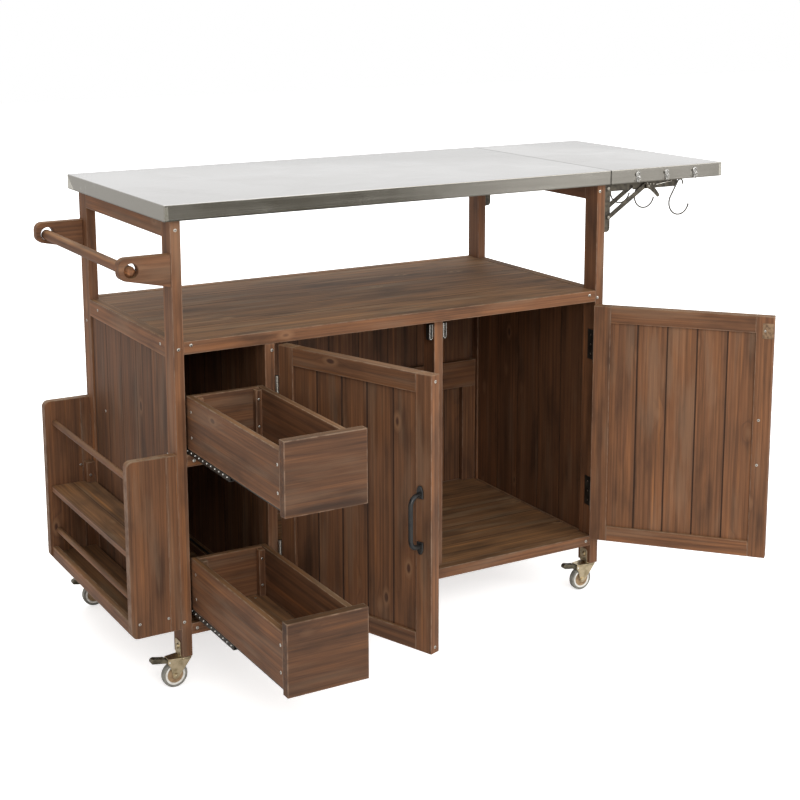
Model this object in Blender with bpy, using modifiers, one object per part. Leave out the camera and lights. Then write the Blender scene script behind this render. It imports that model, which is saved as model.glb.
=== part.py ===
"""Outdoor kitchen cart: stained timber cabinet on four braked casters, with a steel-clad worktop,
a drop flap on folding brackets, two doors, two drawers, a side rack and a towel bar.

Metres, +Z up. X runs along the front from the rack to the flap and Y from the front to the back.
It is held as it stands open: flap up, both doors open, both drawers out.
Every piece is placed in cabinet coordinates: X and Y from the middle of the four posts, Z from
the ground. One empty carries the whole cart and brings the middle of its outline to the origin.
"""

import math

import bmesh
import bpy
from mathutils import Vector

# Frame
WORKTOP_HEIGHT = 0.930
FRAME_LENGTH = 0.975
FRAME_DEPTH = 0.500
POST_WIDTH = 0.020
POST_DEPTH = 0.042
POST_BOTTOM = 0.064
DECK_HEIGHT = 0.674
RAIL_THICK = 0.020
DECK_RAIL_HIGH = 0.024
DECK_SIDE_RAIL_HIGH = 0.034
FLOOR_HEIGHT = 0.128
FLOOR_RAIL_HIGH = 0.022
BOARD_THICK = 0.012
BOARD_RECESS = 0.002
DECK_BOARDS = 5
FLOOR_BOARDS = 5
SIDE_BOARDS = 5
DIVIDER_BOARDS = 5
BACK_BOARDS = 12
GROOVE_WIDE = 0.003
GROOVE_DEEP = 0.0015
TONGUE = 0.005
BACK_RAIL_BOTTOM = 0.362
BACK_RAIL_HIGH = 0.064
BACK_STILE_WIDE = 0.036
BACK_RAIL_THICK = 0.015
DRAWER_OPENING = 0.163
DIVIDER_WIDTH = 0.020
MID_POST_WIDTH = 0.020
BATTEN_HIGH = 0.015

# Worktop and flap
TOP_THICK = 0.030
TOP_SHEET = 0.001
TOP_OVERHANG = 0.017
FLAP_END_OVERHANG = 0.001
FLAP_LENGTH = 0.302
SEAM_GAP = 0.0006
APRON_HIGH = 0.035

# Drawers
DRAWER_TRAVEL = 0.405
DRAWER_LENGTH = 0.412
DRAWER_FRONT_HIGH = 0.131
DRAWER_FRONT_THICK = 0.018
DRAWER_SIDE_HIGH = 0.101
DRAWER_SIDE_THICK = 0.012
DRAWER_BOTTOM_THICK = 0.006
DRAWER_SIDE_CLEAR = 0.004
DRAWER_RAIL_HIGH = 0.023
UPPER_DRAWER_DROP = 0.191
LOWER_DRAWER_RISE = 0.016
SLIDE_WIDE = 0.010
SLIDE_HIGH = 0.0104
SLIDE_LENGTH = 0.400
SLIDE_WEB = 0.0016

# Doors
DOOR_THICK = 0.022
DOOR_HINGE_GAP = 0.003
DOOR_EDGE_GAP = 0.003
DOOR_STILE = 0.036
DOOR_TOP_RAIL = 0.035
DOOR_BOTTOM_RAIL = 0.033
DOOR_PANEL_THICK = 0.010
DOOR_BOARDS = 5
LEFT_DOOR_OPEN = math.radians(70.2)
RIGHT_DOOR_OPEN = math.radians(131.5)
HINGE_LENGTH = 0.065
HINGE_RADIUS = 0.0035
HINGE_LEAF_DEEP = 0.022
HINGE_LEAF_THICK = 0.0012
HINGE_AXIS_OUT = 0.004
UPPER_HINGE_DROP = 0.092
LOWER_HINGE_RISE = 0.097
HANDLE_WIRE = 0.0045
HANDLE_SPAN = 0.096
HANDLE_REACH = 0.028
HANDLE_BEND = 0.0168
HANDLE_FOOT_RADIUS = 0.0075
HANDLE_FOOT_HIGH = 0.004
HANDLE_TAB = 0.016
HANDLE_FROM_EDGE = 0.024
HANDLE_RISE = 0.249

# Side rack
RACK_DEPTH = 0.0985
RACK_PANEL_THICK = 0.018
RACK_TOP = 0.462
RACK_BOTTOM = 0.120
RACK_CORNER = 0.012
RACK_SHELF_TOP = 0.280
RACK_SHELF_SETBACK = 0.008
RACK_BOARD_THICK = 0.012
RACK_LIP_HIGH = 0.024
DOWEL_RADIUS = 0.006
DOWEL_INSET = 0.020
UPPER_DOWEL_HEIGHT = 0.416
LOWER_DOWEL_HEIGHT = 0.181
SOCKET_DEPTH = 0.009

# Towel bar
TOWEL_REACH = 0.0982
TOWEL_BRACKET_DROP = 0.092
TOWEL_BRACKET_HIGH = 0.060
TOWEL_END_HIGH = 0.042
TOWEL_CORNER = 0.015
TOWEL_BRACKET_THICK = 0.020
TOWEL_BAR_FROM_POST = 0.075
TOWEL_HOLE_DROP = 0.0235
TOWEL_HOLE_RADIUS = 0.0135
TOWEL_BAR_RADIUS = 0.0105
TOWEL_BAR_SHORT = 0.001

# Folding brackets
BRACKET_WIDE = 0.034
BRACKET_PLATE = 0.0016
BRACKET_LEG_HIGH = 0.0996
BRACKET_LEG_DEEP = 0.016
BRACKET_LEG_CORNER = 0.008
BRACKET_LEG_ABOVE_PIN = 0.0068
BRACKET_BEND = 0.0004
PIVOT_OUT = 0.0115
FLAP_PIVOT_DROP = 0.0112
BRACKET_PIN_RADIUS = 0.0025
PIN_CLEARANCE = 0.0003
ARM_LENGTH = 0.187
ARM_NOSE = 0.007
ARM_END_CORNER = 0.006
NOTCH_HALF = 0.0045
NOTCH_ABOVE_PIVOT = 0.0033
STRUT_PIVOT_DROP = 0.0612
STRUT_PIN_REACH = 0.101
STRUT_PIN_RISE = 0.0038
STRUT_WIDE = 0.010

# Hooks under the flap
HOOK_WIRE = 0.00125
HOOK_EYE_RADIUS = 0.007
HOOK_BEND_RADIUS = 0.027
HOOK_DROP = 0.0423
HOOK_SIDE = 0.002
HOOK_EYE_OPEN = -30
HOOK_BEND_END = 345
HOOK_FROM_SEAM = 0.1935
FRONT_HOOK_INSET = 0.009
MIDDLE_HOOK_INSET = 0.127
REAR_HOOK_INSET = 0.213

# Casters
WHEEL_RADIUS = 0.0255
TREAD_EDGE = 0.0015
WHEEL_WIDE = 0.014
WHEEL_SIDES = 24
HUB_RADIUS = 0.012
HUB_DISH = 0.002
AXLE_RADIUS = 0.003
CASTER_TRAIL = 0.020
FORK_PLATE = 0.002
FORK_GAP = 0.001
FORK_CROWN_THICK = 0.0028
FORK_CROWN_RADIUS = 0.0165
FORK_TAIL = 0.004
FORK_EDGE = 0.0004
FORK_CROWN_ARC = 125.0
FORK_CHEEK_ARC = 70.0
KINGPIN_RADIUS = 0.006
KINGPIN_HIGH = 0.0028
PEDAL_PIVOT_BACK = 0.032
PEDAL_PIVOT_DROP = 0.0048
PEDAL_LENGTH = 0.040
PEDAL_THICK = 0.006
PEDAL_TILT = 12.0
PEDAL_PIN_RADIUS = 0.0018

FIT = 0.0003  # gap left between two pieces that touch
SMOOTH_ANGLE = math.radians(35)
FLAT_ANGLE = math.radians(0.1)
WELD = 1e-6

HALF_LENGTH = FRAME_LENGTH / 2
HALF_DEPTH = FRAME_DEPTH / 2
FRONT = -HALF_DEPTH
BACK = HALF_DEPTH
INNER_X = HALF_LENGTH - POST_WIDTH
INNER_Y = HALF_DEPTH - POST_DEPTH
TOP_UNDERSIDE = WORKTOP_HEIGHT - TOP_THICK
SEAM_X = HALF_LENGTH + FLAP_END_OVERHANG
FLAP_END_X = SEAM_X + FLAP_LENGTH
TOP_Y = HALF_DEPTH + TOP_OVERHANG
DIVIDER_LEFT = -INNER_X + DRAWER_OPENING
DIVIDER_RIGHT = DIVIDER_LEFT + DIVIDER_WIDTH
DOOR_MIDDLE = (DIVIDER_RIGHT + INNER_X) / 2
DOOR_TOP = DECK_HEIGHT - DECK_RAIL_HIGH - DOOR_EDGE_GAP
DOOR_BOTTOM = FLOOR_HEIGHT + DOOR_EDGE_GAP
DOOR_WIDTH = (INNER_X - DIVIDER_RIGHT - DOOR_EDGE_GAP) / 2 - DOOR_HINGE_GAP
DECK_UNDERSIDE = DECK_HEIGHT - BOARD_RECESS - BOARD_THICK
UPPER_DRAWER_BOTTOM = DECK_HEIGHT - DECK_RAIL_HIGH - UPPER_DRAWER_DROP
LOWER_DRAWER_BOTTOM = FLOOR_HEIGHT + LOWER_DRAWER_RISE
TOWEL_BRACKET_TOP = WORKTOP_HEIGHT - TOWEL_BRACKET_DROP
FLOOR_BOARDS_TOP = FLOOR_HEIGHT - BOARD_RECESS
PIVOT_X = HALF_LENGTH + PIVOT_OUT
PIVOT_Z = TOP_UNDERSIDE - FLAP_PIVOT_DROP
BRACKET_LEG_TOP = PIVOT_Z + BRACKET_LEG_ABOVE_PIN
BRACKET_LEG_BOTTOM = BRACKET_LEG_TOP - BRACKET_LEG_HIGH
CROWN_TOP = POST_BOTTOM - FIT - KINGPIN_HIGH
CROWN_LOW = CROWN_TOP - FORK_CROWN_THICK
RACK_OUTER_X = -HALF_LENGTH - RACK_DEPTH
POST_Y = (BACK + INNER_Y) / 2
POST_X = (HALF_LENGTH + INNER_X) / 2

PARTS = None
CUTTERS = None
ROOT = None


def clear_scene():
    for obj in list(bpy.data.objects):
        bpy.data.objects.remove(obj, do_unlink=True)


def new_collection(name):
    found = bpy.data.collections.new(name)
    bpy.context.scene.collection.children.link(found)
    return found


def material(name, colour, roughness, metallic=0.0):
    found = bpy.data.materials.new(name)
    found.use_nodes = True
    surface = found.node_tree.nodes["Principled BSDF"]
    surface.inputs["Base Color"].default_value = (*colour, 1.0)
    surface.inputs["Roughness"].default_value = roughness
    surface.inputs["Metallic"].default_value = metallic
    return found


def empty(name, at, parent=None, turn=0.0):
    """An empty on a joint's axis, turned about Z."""
    found = bpy.data.objects.new(name, None)
    found.location = at
    found.rotation_euler = (0.0, 0.0, turn)
    found.parent = parent
    PARTS.objects.link(found)
    return found


def add_mesh(name, bm, at, parent, surface):
    mesh = bpy.data.meshes.new(name)
    bmesh.ops.recalc_face_normals(bm, faces=bm.faces)
    bm.to_mesh(mesh)
    bm.free()
    if surface:
        mesh.materials.append(surface)
    found = bpy.data.objects.new(name, mesh)
    found.location = at
    found.parent = parent
    PARTS.objects.link(found)
    return found


def block(name, x, y, z, surface, parent):
    """A box between two values on each axis."""
    bm = bmesh.new()
    bmesh.ops.create_cube(bm, size=1.0)
    size = Vector((x[1] - x[0], y[1] - y[0], z[1] - z[0]))
    middle = Vector((x[0] + x[1], y[0] + y[1], z[0] + z[1])) / 2
    bmesh.ops.scale(bm, vec=size, verts=bm.verts)
    return add_mesh(name, bm, middle, parent, surface)


def rod(name, start, end, radius, surface, parent, sides=24):
    """A cylinder between two points."""
    start = Vector(start)
    end = Vector(end)
    bm = bmesh.new()
    bmesh.ops.create_cone(
        bm, cap_ends=True, segments=sides, radius1=radius, radius2=radius, depth=(end - start).length
    )
    turn = Vector((0, 0, 1)).rotation_difference(end - start).to_matrix()
    bmesh.ops.rotate(bm, cent=(0, 0, 0), matrix=turn, verts=bm.verts)
    found = add_mesh(name, bm, (start + end) / 2, parent, surface)
    smooth(found)
    return found


def smooth(obj):
    obj.data.shade_smooth()
    obj.data.set_sharp_from_angle(angle=SMOOTH_ANGLE)


def as_mesh(curve_object):
    """The curve's own solid as a mesh object, its caps welded to its sides."""
    bpy.context.view_layer.update()
    evaluated = curve_object.evaluated_get(bpy.context.evaluated_depsgraph_get())
    mesh = bpy.data.meshes.new_from_object(evaluated)
    bm = bmesh.new()
    bm.from_mesh(mesh)
    bmesh.ops.remove_doubles(bm, verts=bm.verts, dist=WELD)
    bmesh.ops.dissolve_limit(bm, angle_limit=FLAT_ANGLE, verts=bm.verts, edges=bm.edges)
    bmesh.ops.recalc_face_normals(bm, faces=bm.faces)
    bm.to_mesh(mesh)
    bm.free()
    name = curve_object.name
    found = bpy.data.objects.new(name, mesh)
    found.location = curve_object.location
    found.rotation_euler = curve_object.rotation_euler
    found.parent = curve_object.parent
    bpy.data.objects.remove(curve_object, do_unlink=True)
    found.name = name
    PARTS.objects.link(found)
    smooth(found)
    return found


# How an outline's own plane lies in the cart: the first keeps it level, the second stands it up
# facing the front, the third stands it up facing the side.
LEVEL = (0.0, 0.0, 0.0)
FACING_FRONT = (math.pi / 2, 0.0, 0.0)
FACING_SIDE = (math.pi / 2, 0.0, math.pi / 2)
ACROSS_DEPTH = (0, 1, 0)


def outline(name, loops, thick, lies, at, surface, parent):
    """A flat outline, with holes where it has further loops, and of even thickness about its plane."""
    curve = bpy.data.curves.new(name, "CURVE")
    curve.dimensions = "2D"
    curve.fill_mode = "BOTH"
    curve.extrude = thick / 2
    curve.materials.append(surface)
    for loop in loops:
        spline = curve.splines.new("POLY")
        spline.points.add(len(loop) - 1)
        spline.use_cyclic_u = True
        for point, (u, v) in zip(spline.points, loop):
            point.co = (u, v, 0.0, 1.0)
    found = bpy.data.objects.new(name, curve)
    found.location = at
    found.rotation_euler = lies
    found.parent = parent
    PARTS.objects.link(found)
    return as_mesh(found)


def wire(name, points, radius, at, surface, parent):
    """A bent round wire through points, with filled ends."""
    curve = bpy.data.curves.new(name, "CURVE")
    curve.dimensions = "3D"
    curve.bevel_depth = radius
    curve.bevel_resolution = 2
    curve.use_fill_caps = True
    curve.materials.append(surface)
    spline = curve.splines.new("POLY")
    spline.points.add(len(points) - 1)
    for point, place in zip(spline.points, points):
        point.co = (*place, 1.0)
    found = bpy.data.objects.new(name, curve)
    found.location = at
    found.parent = parent
    PARTS.objects.link(found)
    return as_mesh(found)


def combine(target, tool, operation):
    """Joins a tool to a piece, or cuts it out, and keeps the tool as a hidden helper."""
    modifier = target.modifiers.new(tool.name, "BOOLEAN")
    modifier.operation = operation
    modifier.object = tool
    modifier.solver = "EXACT"
    for holder in list(tool.users_collection):
        holder.objects.unlink(tool)
    CUTTERS.objects.link(tool)
    tool.hide_render = True
    tool.display_type = "WIRE"


def join(target, *tools):
    for tool in tools:
        combine(target, tool, "UNION")


def cut(target, *tools):
    for tool in tools:
        combine(target, tool, "DIFFERENCE")


def arc(centre, radius, start, end, steps):
    """Points along an arc, angles in degrees."""
    found = []
    for step in range(steps + 1):
        angle = math.radians(start + (end - start) * step / steps)
        found.append((centre[0] + radius * math.cos(angle), centre[1] + radius * math.sin(angle)))
    return found


def circle(centre, radius, steps=24):
    return arc(centre, radius, 0, 360, steps)[:-1]


def joints_between(low, high, boards):
    return [low + (high - low) * number / boards for number in range(1, boards)]


def boarded(name, low, high, thick, boards, along, lies, at, surface, parent, across=(1, 0, 0)):
    """A panel of boards side by side, with a V groove on both faces at each joint."""
    near = [(low, -thick / 2)]
    far = [(low, thick / 2)]
    for middle in joints_between(low, high, boards):
        for side, face in ((-1, near), (1, far)):
            face.append((middle - GROOVE_WIDE / 2, side * thick / 2))
            face.append((middle, side * (thick / 2 - GROOVE_DEEP)))
            face.append((middle + GROOVE_WIDE / 2, side * thick / 2))
    near.append((high, -thick / 2))
    far.append((high, thick / 2))
    profile = near + far[::-1]
    if across[1]:
        profile = [(v, u) for u, v in profile]
    panel = outline(name, [profile], along, lies, at, surface, parent)
    # Each joint runs right through the two ends, so that every board's end is its own face.
    bm = bmesh.new()
    bm.from_mesh(panel.data)
    for middle in joints_between(low, high, boards):
        bmesh.ops.bisect_plane(
            bm,
            geom=bm.verts[:] + bm.edges[:] + bm.faces[:],
            dist=WELD,
            plane_co=Vector(across) * middle,
            plane_no=across,
        )
    bm.to_mesh(panel.data)
    bm.free()
    return panel


# Posts


def posts(wood):
    for side, x in (("left", -POST_X), ("right", POST_X)):
        for end, y in (("front", -POST_Y), ("rear", POST_Y)):
            block(
                f"{end}_{side}_post",
                (x - POST_WIDTH / 2, x + POST_WIDTH / 2),
                (y - POST_DEPTH / 2, y + POST_DEPTH / 2),
                (POST_BOTTOM, TOP_UNDERSIDE - FIT),
                wood,
                ROOT,
            )


def inner_posts(wood):
    """The post beside the drawers, with the rail between the drawers let into it, and the post
    behind the meeting of the doors."""
    divider = block(
        "divider_post",
        (DIVIDER_LEFT, DIVIDER_RIGHT),
        (FRONT, FRONT + POST_DEPTH),
        (FLOOR_HEIGHT + FIT, DECK_HEIGHT - DECK_RAIL_HIGH - FIT),
        wood,
        ROOT,
    )
    top = UPPER_DRAWER_BOTTOM - FIT
    rail = block(
        "drawer_rail",
        (-INNER_X + FIT, DIVIDER_LEFT + TONGUE),
        (FRONT + FIT, FRONT + RAIL_THICK),
        (top - DRAWER_RAIL_HIGH, top),
        wood,
        ROOT,
    )
    join(divider, rail)
    start = FRONT + DOOR_THICK + FIT
    block(
        "mid_post",
        (DOOR_MIDDLE - MID_POST_WIDTH / 2, DOOR_MIDDLE + MID_POST_WIDTH / 2),
        (start, start + POST_DEPTH),
        (FLOOR_BOARDS_TOP + FIT, DECK_UNDERSIDE - FIT),
        wood,
        ROOT,
    )


# Deck and floor


def framed_boards(name, top, rail_high, side_high, boards, wood):
    """A frame of four rails between the posts, flush with their outer faces, with boards let in."""
    tray = block(
        name,
        (-INNER_X + FIT, INNER_X - FIT),
        (FRONT, FRONT + RAIL_THICK),
        (top - rail_high, top),
        wood,
        ROOT,
    )
    rear = block(
        f"{name}_rear_rail",
        (-INNER_X + FIT, INNER_X - FIT),
        (BACK - RAIL_THICK, BACK),
        (top - rail_high, top),
        wood,
        ROOT,
    )
    reach = BACK - RAIL_THICK + TONGUE
    board_z = top - BOARD_RECESS - BOARD_THICK / 2
    panel = boarded(
        f"{name}_boards",
        -reach,
        reach,
        BOARD_THICK,
        boards,
        2 * (INNER_X - 2 * FIT),
        FACING_SIDE,
        (0, 0, board_z),
        wood,
        ROOT,
    )
    join(tray, rear, panel)
    for side, x in (("left", -HALF_LENGTH), ("right", INNER_X - TONGUE)):
        rail = block(
            f"{name}_{side}_rail",
            (x, x + POST_WIDTH + TONGUE),
            (-INNER_Y + FIT, INNER_Y - FIT),
            (top - side_high, top),
            wood,
            ROOT,
        )
        join(tray, rail)


# Panels


def side_panel(name, side, wood):
    """Vertical boards between two posts, from the floor's side rail to the deck's."""
    low = FLOOR_HEIGHT + FIT
    high = DECK_HEIGHT - DECK_SIDE_RAIL_HIGH - FIT
    return boarded(
        name,
        -INNER_Y + FIT,
        INNER_Y - FIT,
        BOARD_THICK,
        SIDE_BOARDS,
        high - low,
        LEVEL,
        (side * POST_X, 0, (low + high) / 2),
        wood,
        ROOT,
        ACROSS_DEPTH,
    )


def divider_panel(wood):
    """Vertical boards between the drawers and the cupboard, from the divider post to the back."""
    low = FLOOR_BOARDS_TOP + FIT
    high = DECK_UNDERSIDE - FIT
    return boarded(
        "divider_panel",
        FRONT + POST_DEPTH + FIT,
        BACK - RAIL_THICK - FIT,
        BOARD_THICK,
        DIVIDER_BOARDS,
        high - low,
        LEVEL,
        ((DIVIDER_LEFT + DIVIDER_RIGHT) / 2, 0, (low + high) / 2),
        wood,
        ROOT,
        ACROSS_DEPTH,
    )


def slide_batten(panel, face, side, bottom, wood):
    """The strip on a panel's inner face that carries a drawer slide."""
    inner = -INNER_X + DRAWER_SIDE_CLEAR + SLIDE_WIDE
    if side > 0:
        inner = DIVIDER_LEFT - DRAWER_SIDE_CLEAR - SLIDE_WIDE
    batten = block(
        f"{panel.name}_batten_{round(bottom * 1000)}",
        sorted((face, inner)),
        (-INNER_Y + 2 * FIT, INNER_Y - 2 * FIT),
        (bottom - BATTEN_HIGH, bottom - FIT),
        wood,
        ROOT,
    )
    join(panel, batten)


def panels(wood):
    left = side_panel("left_side_panel", -1, wood)
    side_panel("right_side_panel", 1, wood)
    divider = divider_panel(wood)
    left_face = -POST_X + BOARD_THICK / 2 - TONGUE
    divider_face = (DIVIDER_LEFT + DIVIDER_RIGHT) / 2 - BOARD_THICK / 2 + TONGUE
    for bottom in (UPPER_DRAWER_BOTTOM, LOWER_DRAWER_BOTTOM):
        slide_batten(left, left_face, -1, bottom, wood)
        slide_batten(divider, divider_face, 1, bottom, wood)
    back_panel(wood)


def back_panel(wood):
    """Vertical boards between the rear posts, with a rail and two stiles on the inner face."""
    low = FLOOR_HEIGHT + FIT
    high = DECK_HEIGHT - DECK_RAIL_HIGH - FIT
    y = BACK - RAIL_THICK + BOARD_THICK / 2
    panel = boarded(
        "back_panel",
        -INNER_X + FIT,
        INNER_X - FIT,
        BOARD_THICK,
        BACK_BOARDS,
        high - low,
        LEVEL,
        (0, y, (low + high) / 2),
        wood,
        ROOT,
    )
    inner = y - BOARD_THICK / 2
    behind = inner + 2 * GROOVE_DEEP
    start = DIVIDER_RIGHT + FIT
    end = INNER_X - 2 * FIT
    rail = block(
        "back_mid_rail",
        (start, end),
        (inner - BACK_RAIL_THICK, behind),
        (BACK_RAIL_BOTTOM, BACK_RAIL_BOTTOM + BACK_RAIL_HIGH),
        wood,
        ROOT,
    )
    join(panel, rail)
    for name, x in (("left", start + FIT), ("right", end - FIT - BACK_STILE_WIDE)):
        stile = block(
            f"back_{name}_stile",
            (x, x + BACK_STILE_WIDE),
            (inner - BACK_RAIL_THICK + FIT, behind + FIT),
            (low + FIT, BACK_RAIL_BOTTOM + BACK_RAIL_HIGH / 2),
            wood,
            ROOT,
        )
        join(panel, stile)


# Worktop


def steel_pan(name, x, top, steel, parent):
    """A folded sheet: the top and a skirt down all four sides, open below."""
    pan = block(name, x, (-TOP_Y, TOP_Y), (top - TOP_THICK, top), steel, parent)
    hollow = block(
        f"{name}_hollow",
        (x[0] + TOP_SHEET, x[1] - TOP_SHEET),
        (-TOP_Y + TOP_SHEET, TOP_Y - TOP_SHEET),
        (top - 2 * TOP_THICK, top - TOP_SHEET),
        steel,
        parent,
    )
    cut(pan, hollow)


def core(name, x, top, wood, parent):
    """The boards that fill a pan, flush with the foot of its skirt."""
    inset = TOP_SHEET + FIT
    return block(
        name,
        (x[0] + inset, x[1] - inset),
        (-TOP_Y + inset, TOP_Y - inset),
        (top - TOP_THICK, top - inset),
        wood,
        parent,
    )


def worktop(steel, wood):
    span = (-HALF_LENGTH - TOP_OVERHANG, SEAM_X)
    steel_pan("worktop_skin", span, WORKTOP_HEIGHT, steel, ROOT)
    board = core("worktop_core", span, WORKTOP_HEIGHT, wood, ROOT)
    for side, x in (("left", -POST_X), ("right", POST_X)):
        apron = block(
            f"{side}_apron",
            (x - POST_WIDTH / 2, x + POST_WIDTH / 2),
            (-INNER_Y + FIT, INNER_Y - FIT),
            (TOP_UNDERSIDE - APRON_HIGH, TOP_UNDERSIDE + TONGUE),
            wood,
            ROOT,
        )
        join(board, apron)


def flap(steel, wood, axis):
    """The drop flap, in the coordinates of its pivots."""
    span = (SEAM_X + SEAM_GAP - PIVOT_X, FLAP_END_X - PIVOT_X)
    top = WORKTOP_HEIGHT - PIVOT_Z
    steel_pan("flap_skin", span, top, steel, axis)
    core("flap_core", span, top, wood, axis)


# Drawers


def drawer(name, bottom, wood):
    """A box with its front, pulled right out."""
    left = -INNER_X + DRAWER_SIDE_CLEAR
    right = DIVIDER_LEFT - DRAWER_SIDE_CLEAR
    front = FRONT - DRAWER_TRAVEL
    rear = front + DRAWER_LENGTH
    inner = front + DRAWER_FRONT_THICK
    box_bottom = bottom + SLIDE_HIGH + FIT
    box_top = box_bottom + DRAWER_SIDE_HIGH
    face = block(
        name, (left, right), (front, inner), (bottom, bottom + DRAWER_FRONT_HIGH), wood, ROOT
    )
    box = block(
        f"{name}_box",
        (left + FIT, right - FIT),
        (inner - TONGUE, rear),
        (box_bottom, box_top),
        wood,
        ROOT,
    )
    hollow = block(
        f"{name}_hollow",
        (left + DRAWER_SIDE_THICK, right - DRAWER_SIDE_THICK),
        (inner + FIT, rear - DRAWER_SIDE_THICK),
        (box_bottom + DRAWER_BOTTOM_THICK, box_top + DRAWER_SIDE_HIGH),
        wood,
        ROOT,
    )
    join(face, box)
    cut(face, hollow)


def slide(name, side, bottom, steel):
    """The middle member of a drawer slide: a shallow channel, half way out with its drawer."""
    left = -INNER_X + DRAWER_SIDE_CLEAR
    if side > 0:
        left = DIVIDER_LEFT - DRAWER_SIDE_CLEAR - SLIDE_WIDE
    start = FRONT + DRAWER_FRONT_THICK + FIT - DRAWER_TRAVEL / 2
    half_wide = SLIDE_WIDE / 2
    low = -SLIDE_HIGH / 2
    high = SLIDE_HIGH / 2
    profile = [
        (-half_wide, low),
        (half_wide, low),
        (half_wide, high),
        (half_wide - SLIDE_WEB, high),
        (half_wide - SLIDE_WEB, low + SLIDE_WEB),
        (-half_wide + SLIDE_WEB, low + SLIDE_WEB),
        (-half_wide + SLIDE_WEB, high),
        (-half_wide, high),
    ]
    at = (left + half_wide, start + SLIDE_LENGTH / 2, bottom + high)
    outline(name, [profile], SLIDE_LENGTH, FACING_FRONT, at, steel, ROOT)


def drawers(wood, steel):
    for name, bottom in (("upper", UPPER_DRAWER_BOTTOM), ("lower", LOWER_DRAWER_BOTTOM)):
        drawer(f"{name}_drawer", bottom, wood)
        for hand, side in (("left", -1), ("right", 1)):
            slide(f"{name}_{hand}_slide", side, bottom, steel)


# Doors


def door(name, side, axis, wood, black):
    """A door in its own coordinates: its hinge axis at the origin and closed, the leaf running
    towards the middle of the opening. A side of 1 is hinged on its left, -1 on its right."""
    near = DOOR_HINGE_GAP / 2
    far = near + DOOR_WIDTH
    middle_y = HINGE_AXIS_OUT + DOOR_THICK / 2
    middle_z = (DOOR_TOP + DOOR_BOTTOM) / 2
    half_high = (DOOR_TOP - DOOR_BOTTOM) / 2
    rim = [(near, -half_high), (far, -half_high), (far, half_high), (near, half_high)]
    gap = [
        (near + DOOR_STILE, -half_high + DOOR_BOTTOM_RAIL),
        (near + DOOR_STILE, half_high - DOOR_TOP_RAIL),
        (far - DOOR_STILE, half_high - DOOR_TOP_RAIL),
        (far - DOOR_STILE, -half_high + DOOR_BOTTOM_RAIL),
    ]
    loops = [[(side * u, v) for u, v in loop] for loop in (rim, gap)]
    leaf = outline(name, loops, DOOR_THICK, FACING_FRONT, (0, middle_y, middle_z), wood, axis)
    boards_half = (DOOR_WIDTH - 2 * DOOR_STILE) / 2 + TONGUE
    boards = boarded(
        f"{name}_boards",
        -boards_half,
        boards_half,
        DOOR_PANEL_THICK,
        DOOR_BOARDS,
        2 * half_high - DOOR_BOTTOM_RAIL - DOOR_TOP_RAIL + 2 * TONGUE,
        LEVEL,
        (side * (near + far) / 2, middle_y, middle_z + (DOOR_BOTTOM_RAIL - DOOR_TOP_RAIL) / 2),
        wood,
        axis,
    )
    join(leaf, boards)
    door_handle(f"{name}_handle", side * (far - HANDLE_FROM_EDGE), axis, black)


def door_handle(name, x, axis, black):
    """An arched pull on the outer face, with a flat foot and tab at each end."""
    face = HINGE_AXIS_OUT - FIT
    middle = DOOR_BOTTOM + HANDLE_RISE
    half = HANDLE_SPAN / 2
    bend = HANDLE_BEND
    path = [(x, face - HANDLE_FOOT_HIGH / 2, -half)]
    for u, v in arc((-half + bend, -HANDLE_REACH + bend), bend, 180, 270, 4):
        path.append((x, face + v, u))
    for u, v in arc((half - bend, -HANDLE_REACH + bend), bend, 270, 360, 4):
        path.append((x, face + v, u))
    path.append((x, face - HANDLE_FOOT_HIGH / 2, half))
    pull = wire(name, path, HANDLE_WIRE, (0, 0, middle), black, axis)
    for end in (-1, 1):
        foot = block(
            f"{name}_foot_{end + 1}",
            (x - HANDLE_FOOT_RADIUS, x + HANDLE_FOOT_RADIUS),
            (face - HANDLE_FOOT_HIGH, face),
            sorted(
                (
                    middle + end * (half - HANDLE_FOOT_RADIUS),
                    middle + end * (half + HANDLE_TAB),
                )
            ),
            black,
            axis,
        )
        join(pull, foot)


def hinge(name, side, axis_x, z, black):
    """The leaf screwed to the post, with the whole knuckle on its front edge."""
    y = FRONT - HINGE_AXIS_OUT
    low = z - HINGE_LENGTH / 2
    high = z + HINGE_LENGTH / 2
    knuckle = rod(name, (axis_x, y, low), (axis_x, y, high), HINGE_RADIUS, black, ROOT, 16)
    post_face = axis_x - side * (DOOR_HINGE_GAP / 2 - FIT)
    leaf = block(
        f"{name}_leaf",
        sorted((post_face, post_face + side * HINGE_LEAF_THICK)),
        (y, FRONT + HINGE_LEAF_DEEP),
        (low, high),
        black,
        ROOT,
    )
    join(knuckle, leaf)


def doors(wood, black):
    y = FRONT - HINGE_AXIS_OUT
    hung = (
        ("left_door", 1, DIVIDER_RIGHT + DOOR_HINGE_GAP / 2, -LEFT_DOOR_OPEN),
        ("right_door", -1, INNER_X - DOOR_HINGE_GAP / 2, RIGHT_DOOR_OPEN),
    )
    for name, side, x, turn in hung:
        axis = empty(f"{name}_axis", (x, y, 0), ROOT, turn)
        door(name, side, axis, wood, black)
        hinge(f"{name}_upper_hinge", side, x, DOOR_TOP - UPPER_HINGE_DROP, black)
        hinge(f"{name}_lower_hinge", side, x, DOOR_BOTTOM + LOWER_HINGE_RISE, black)


# Side rack


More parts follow.
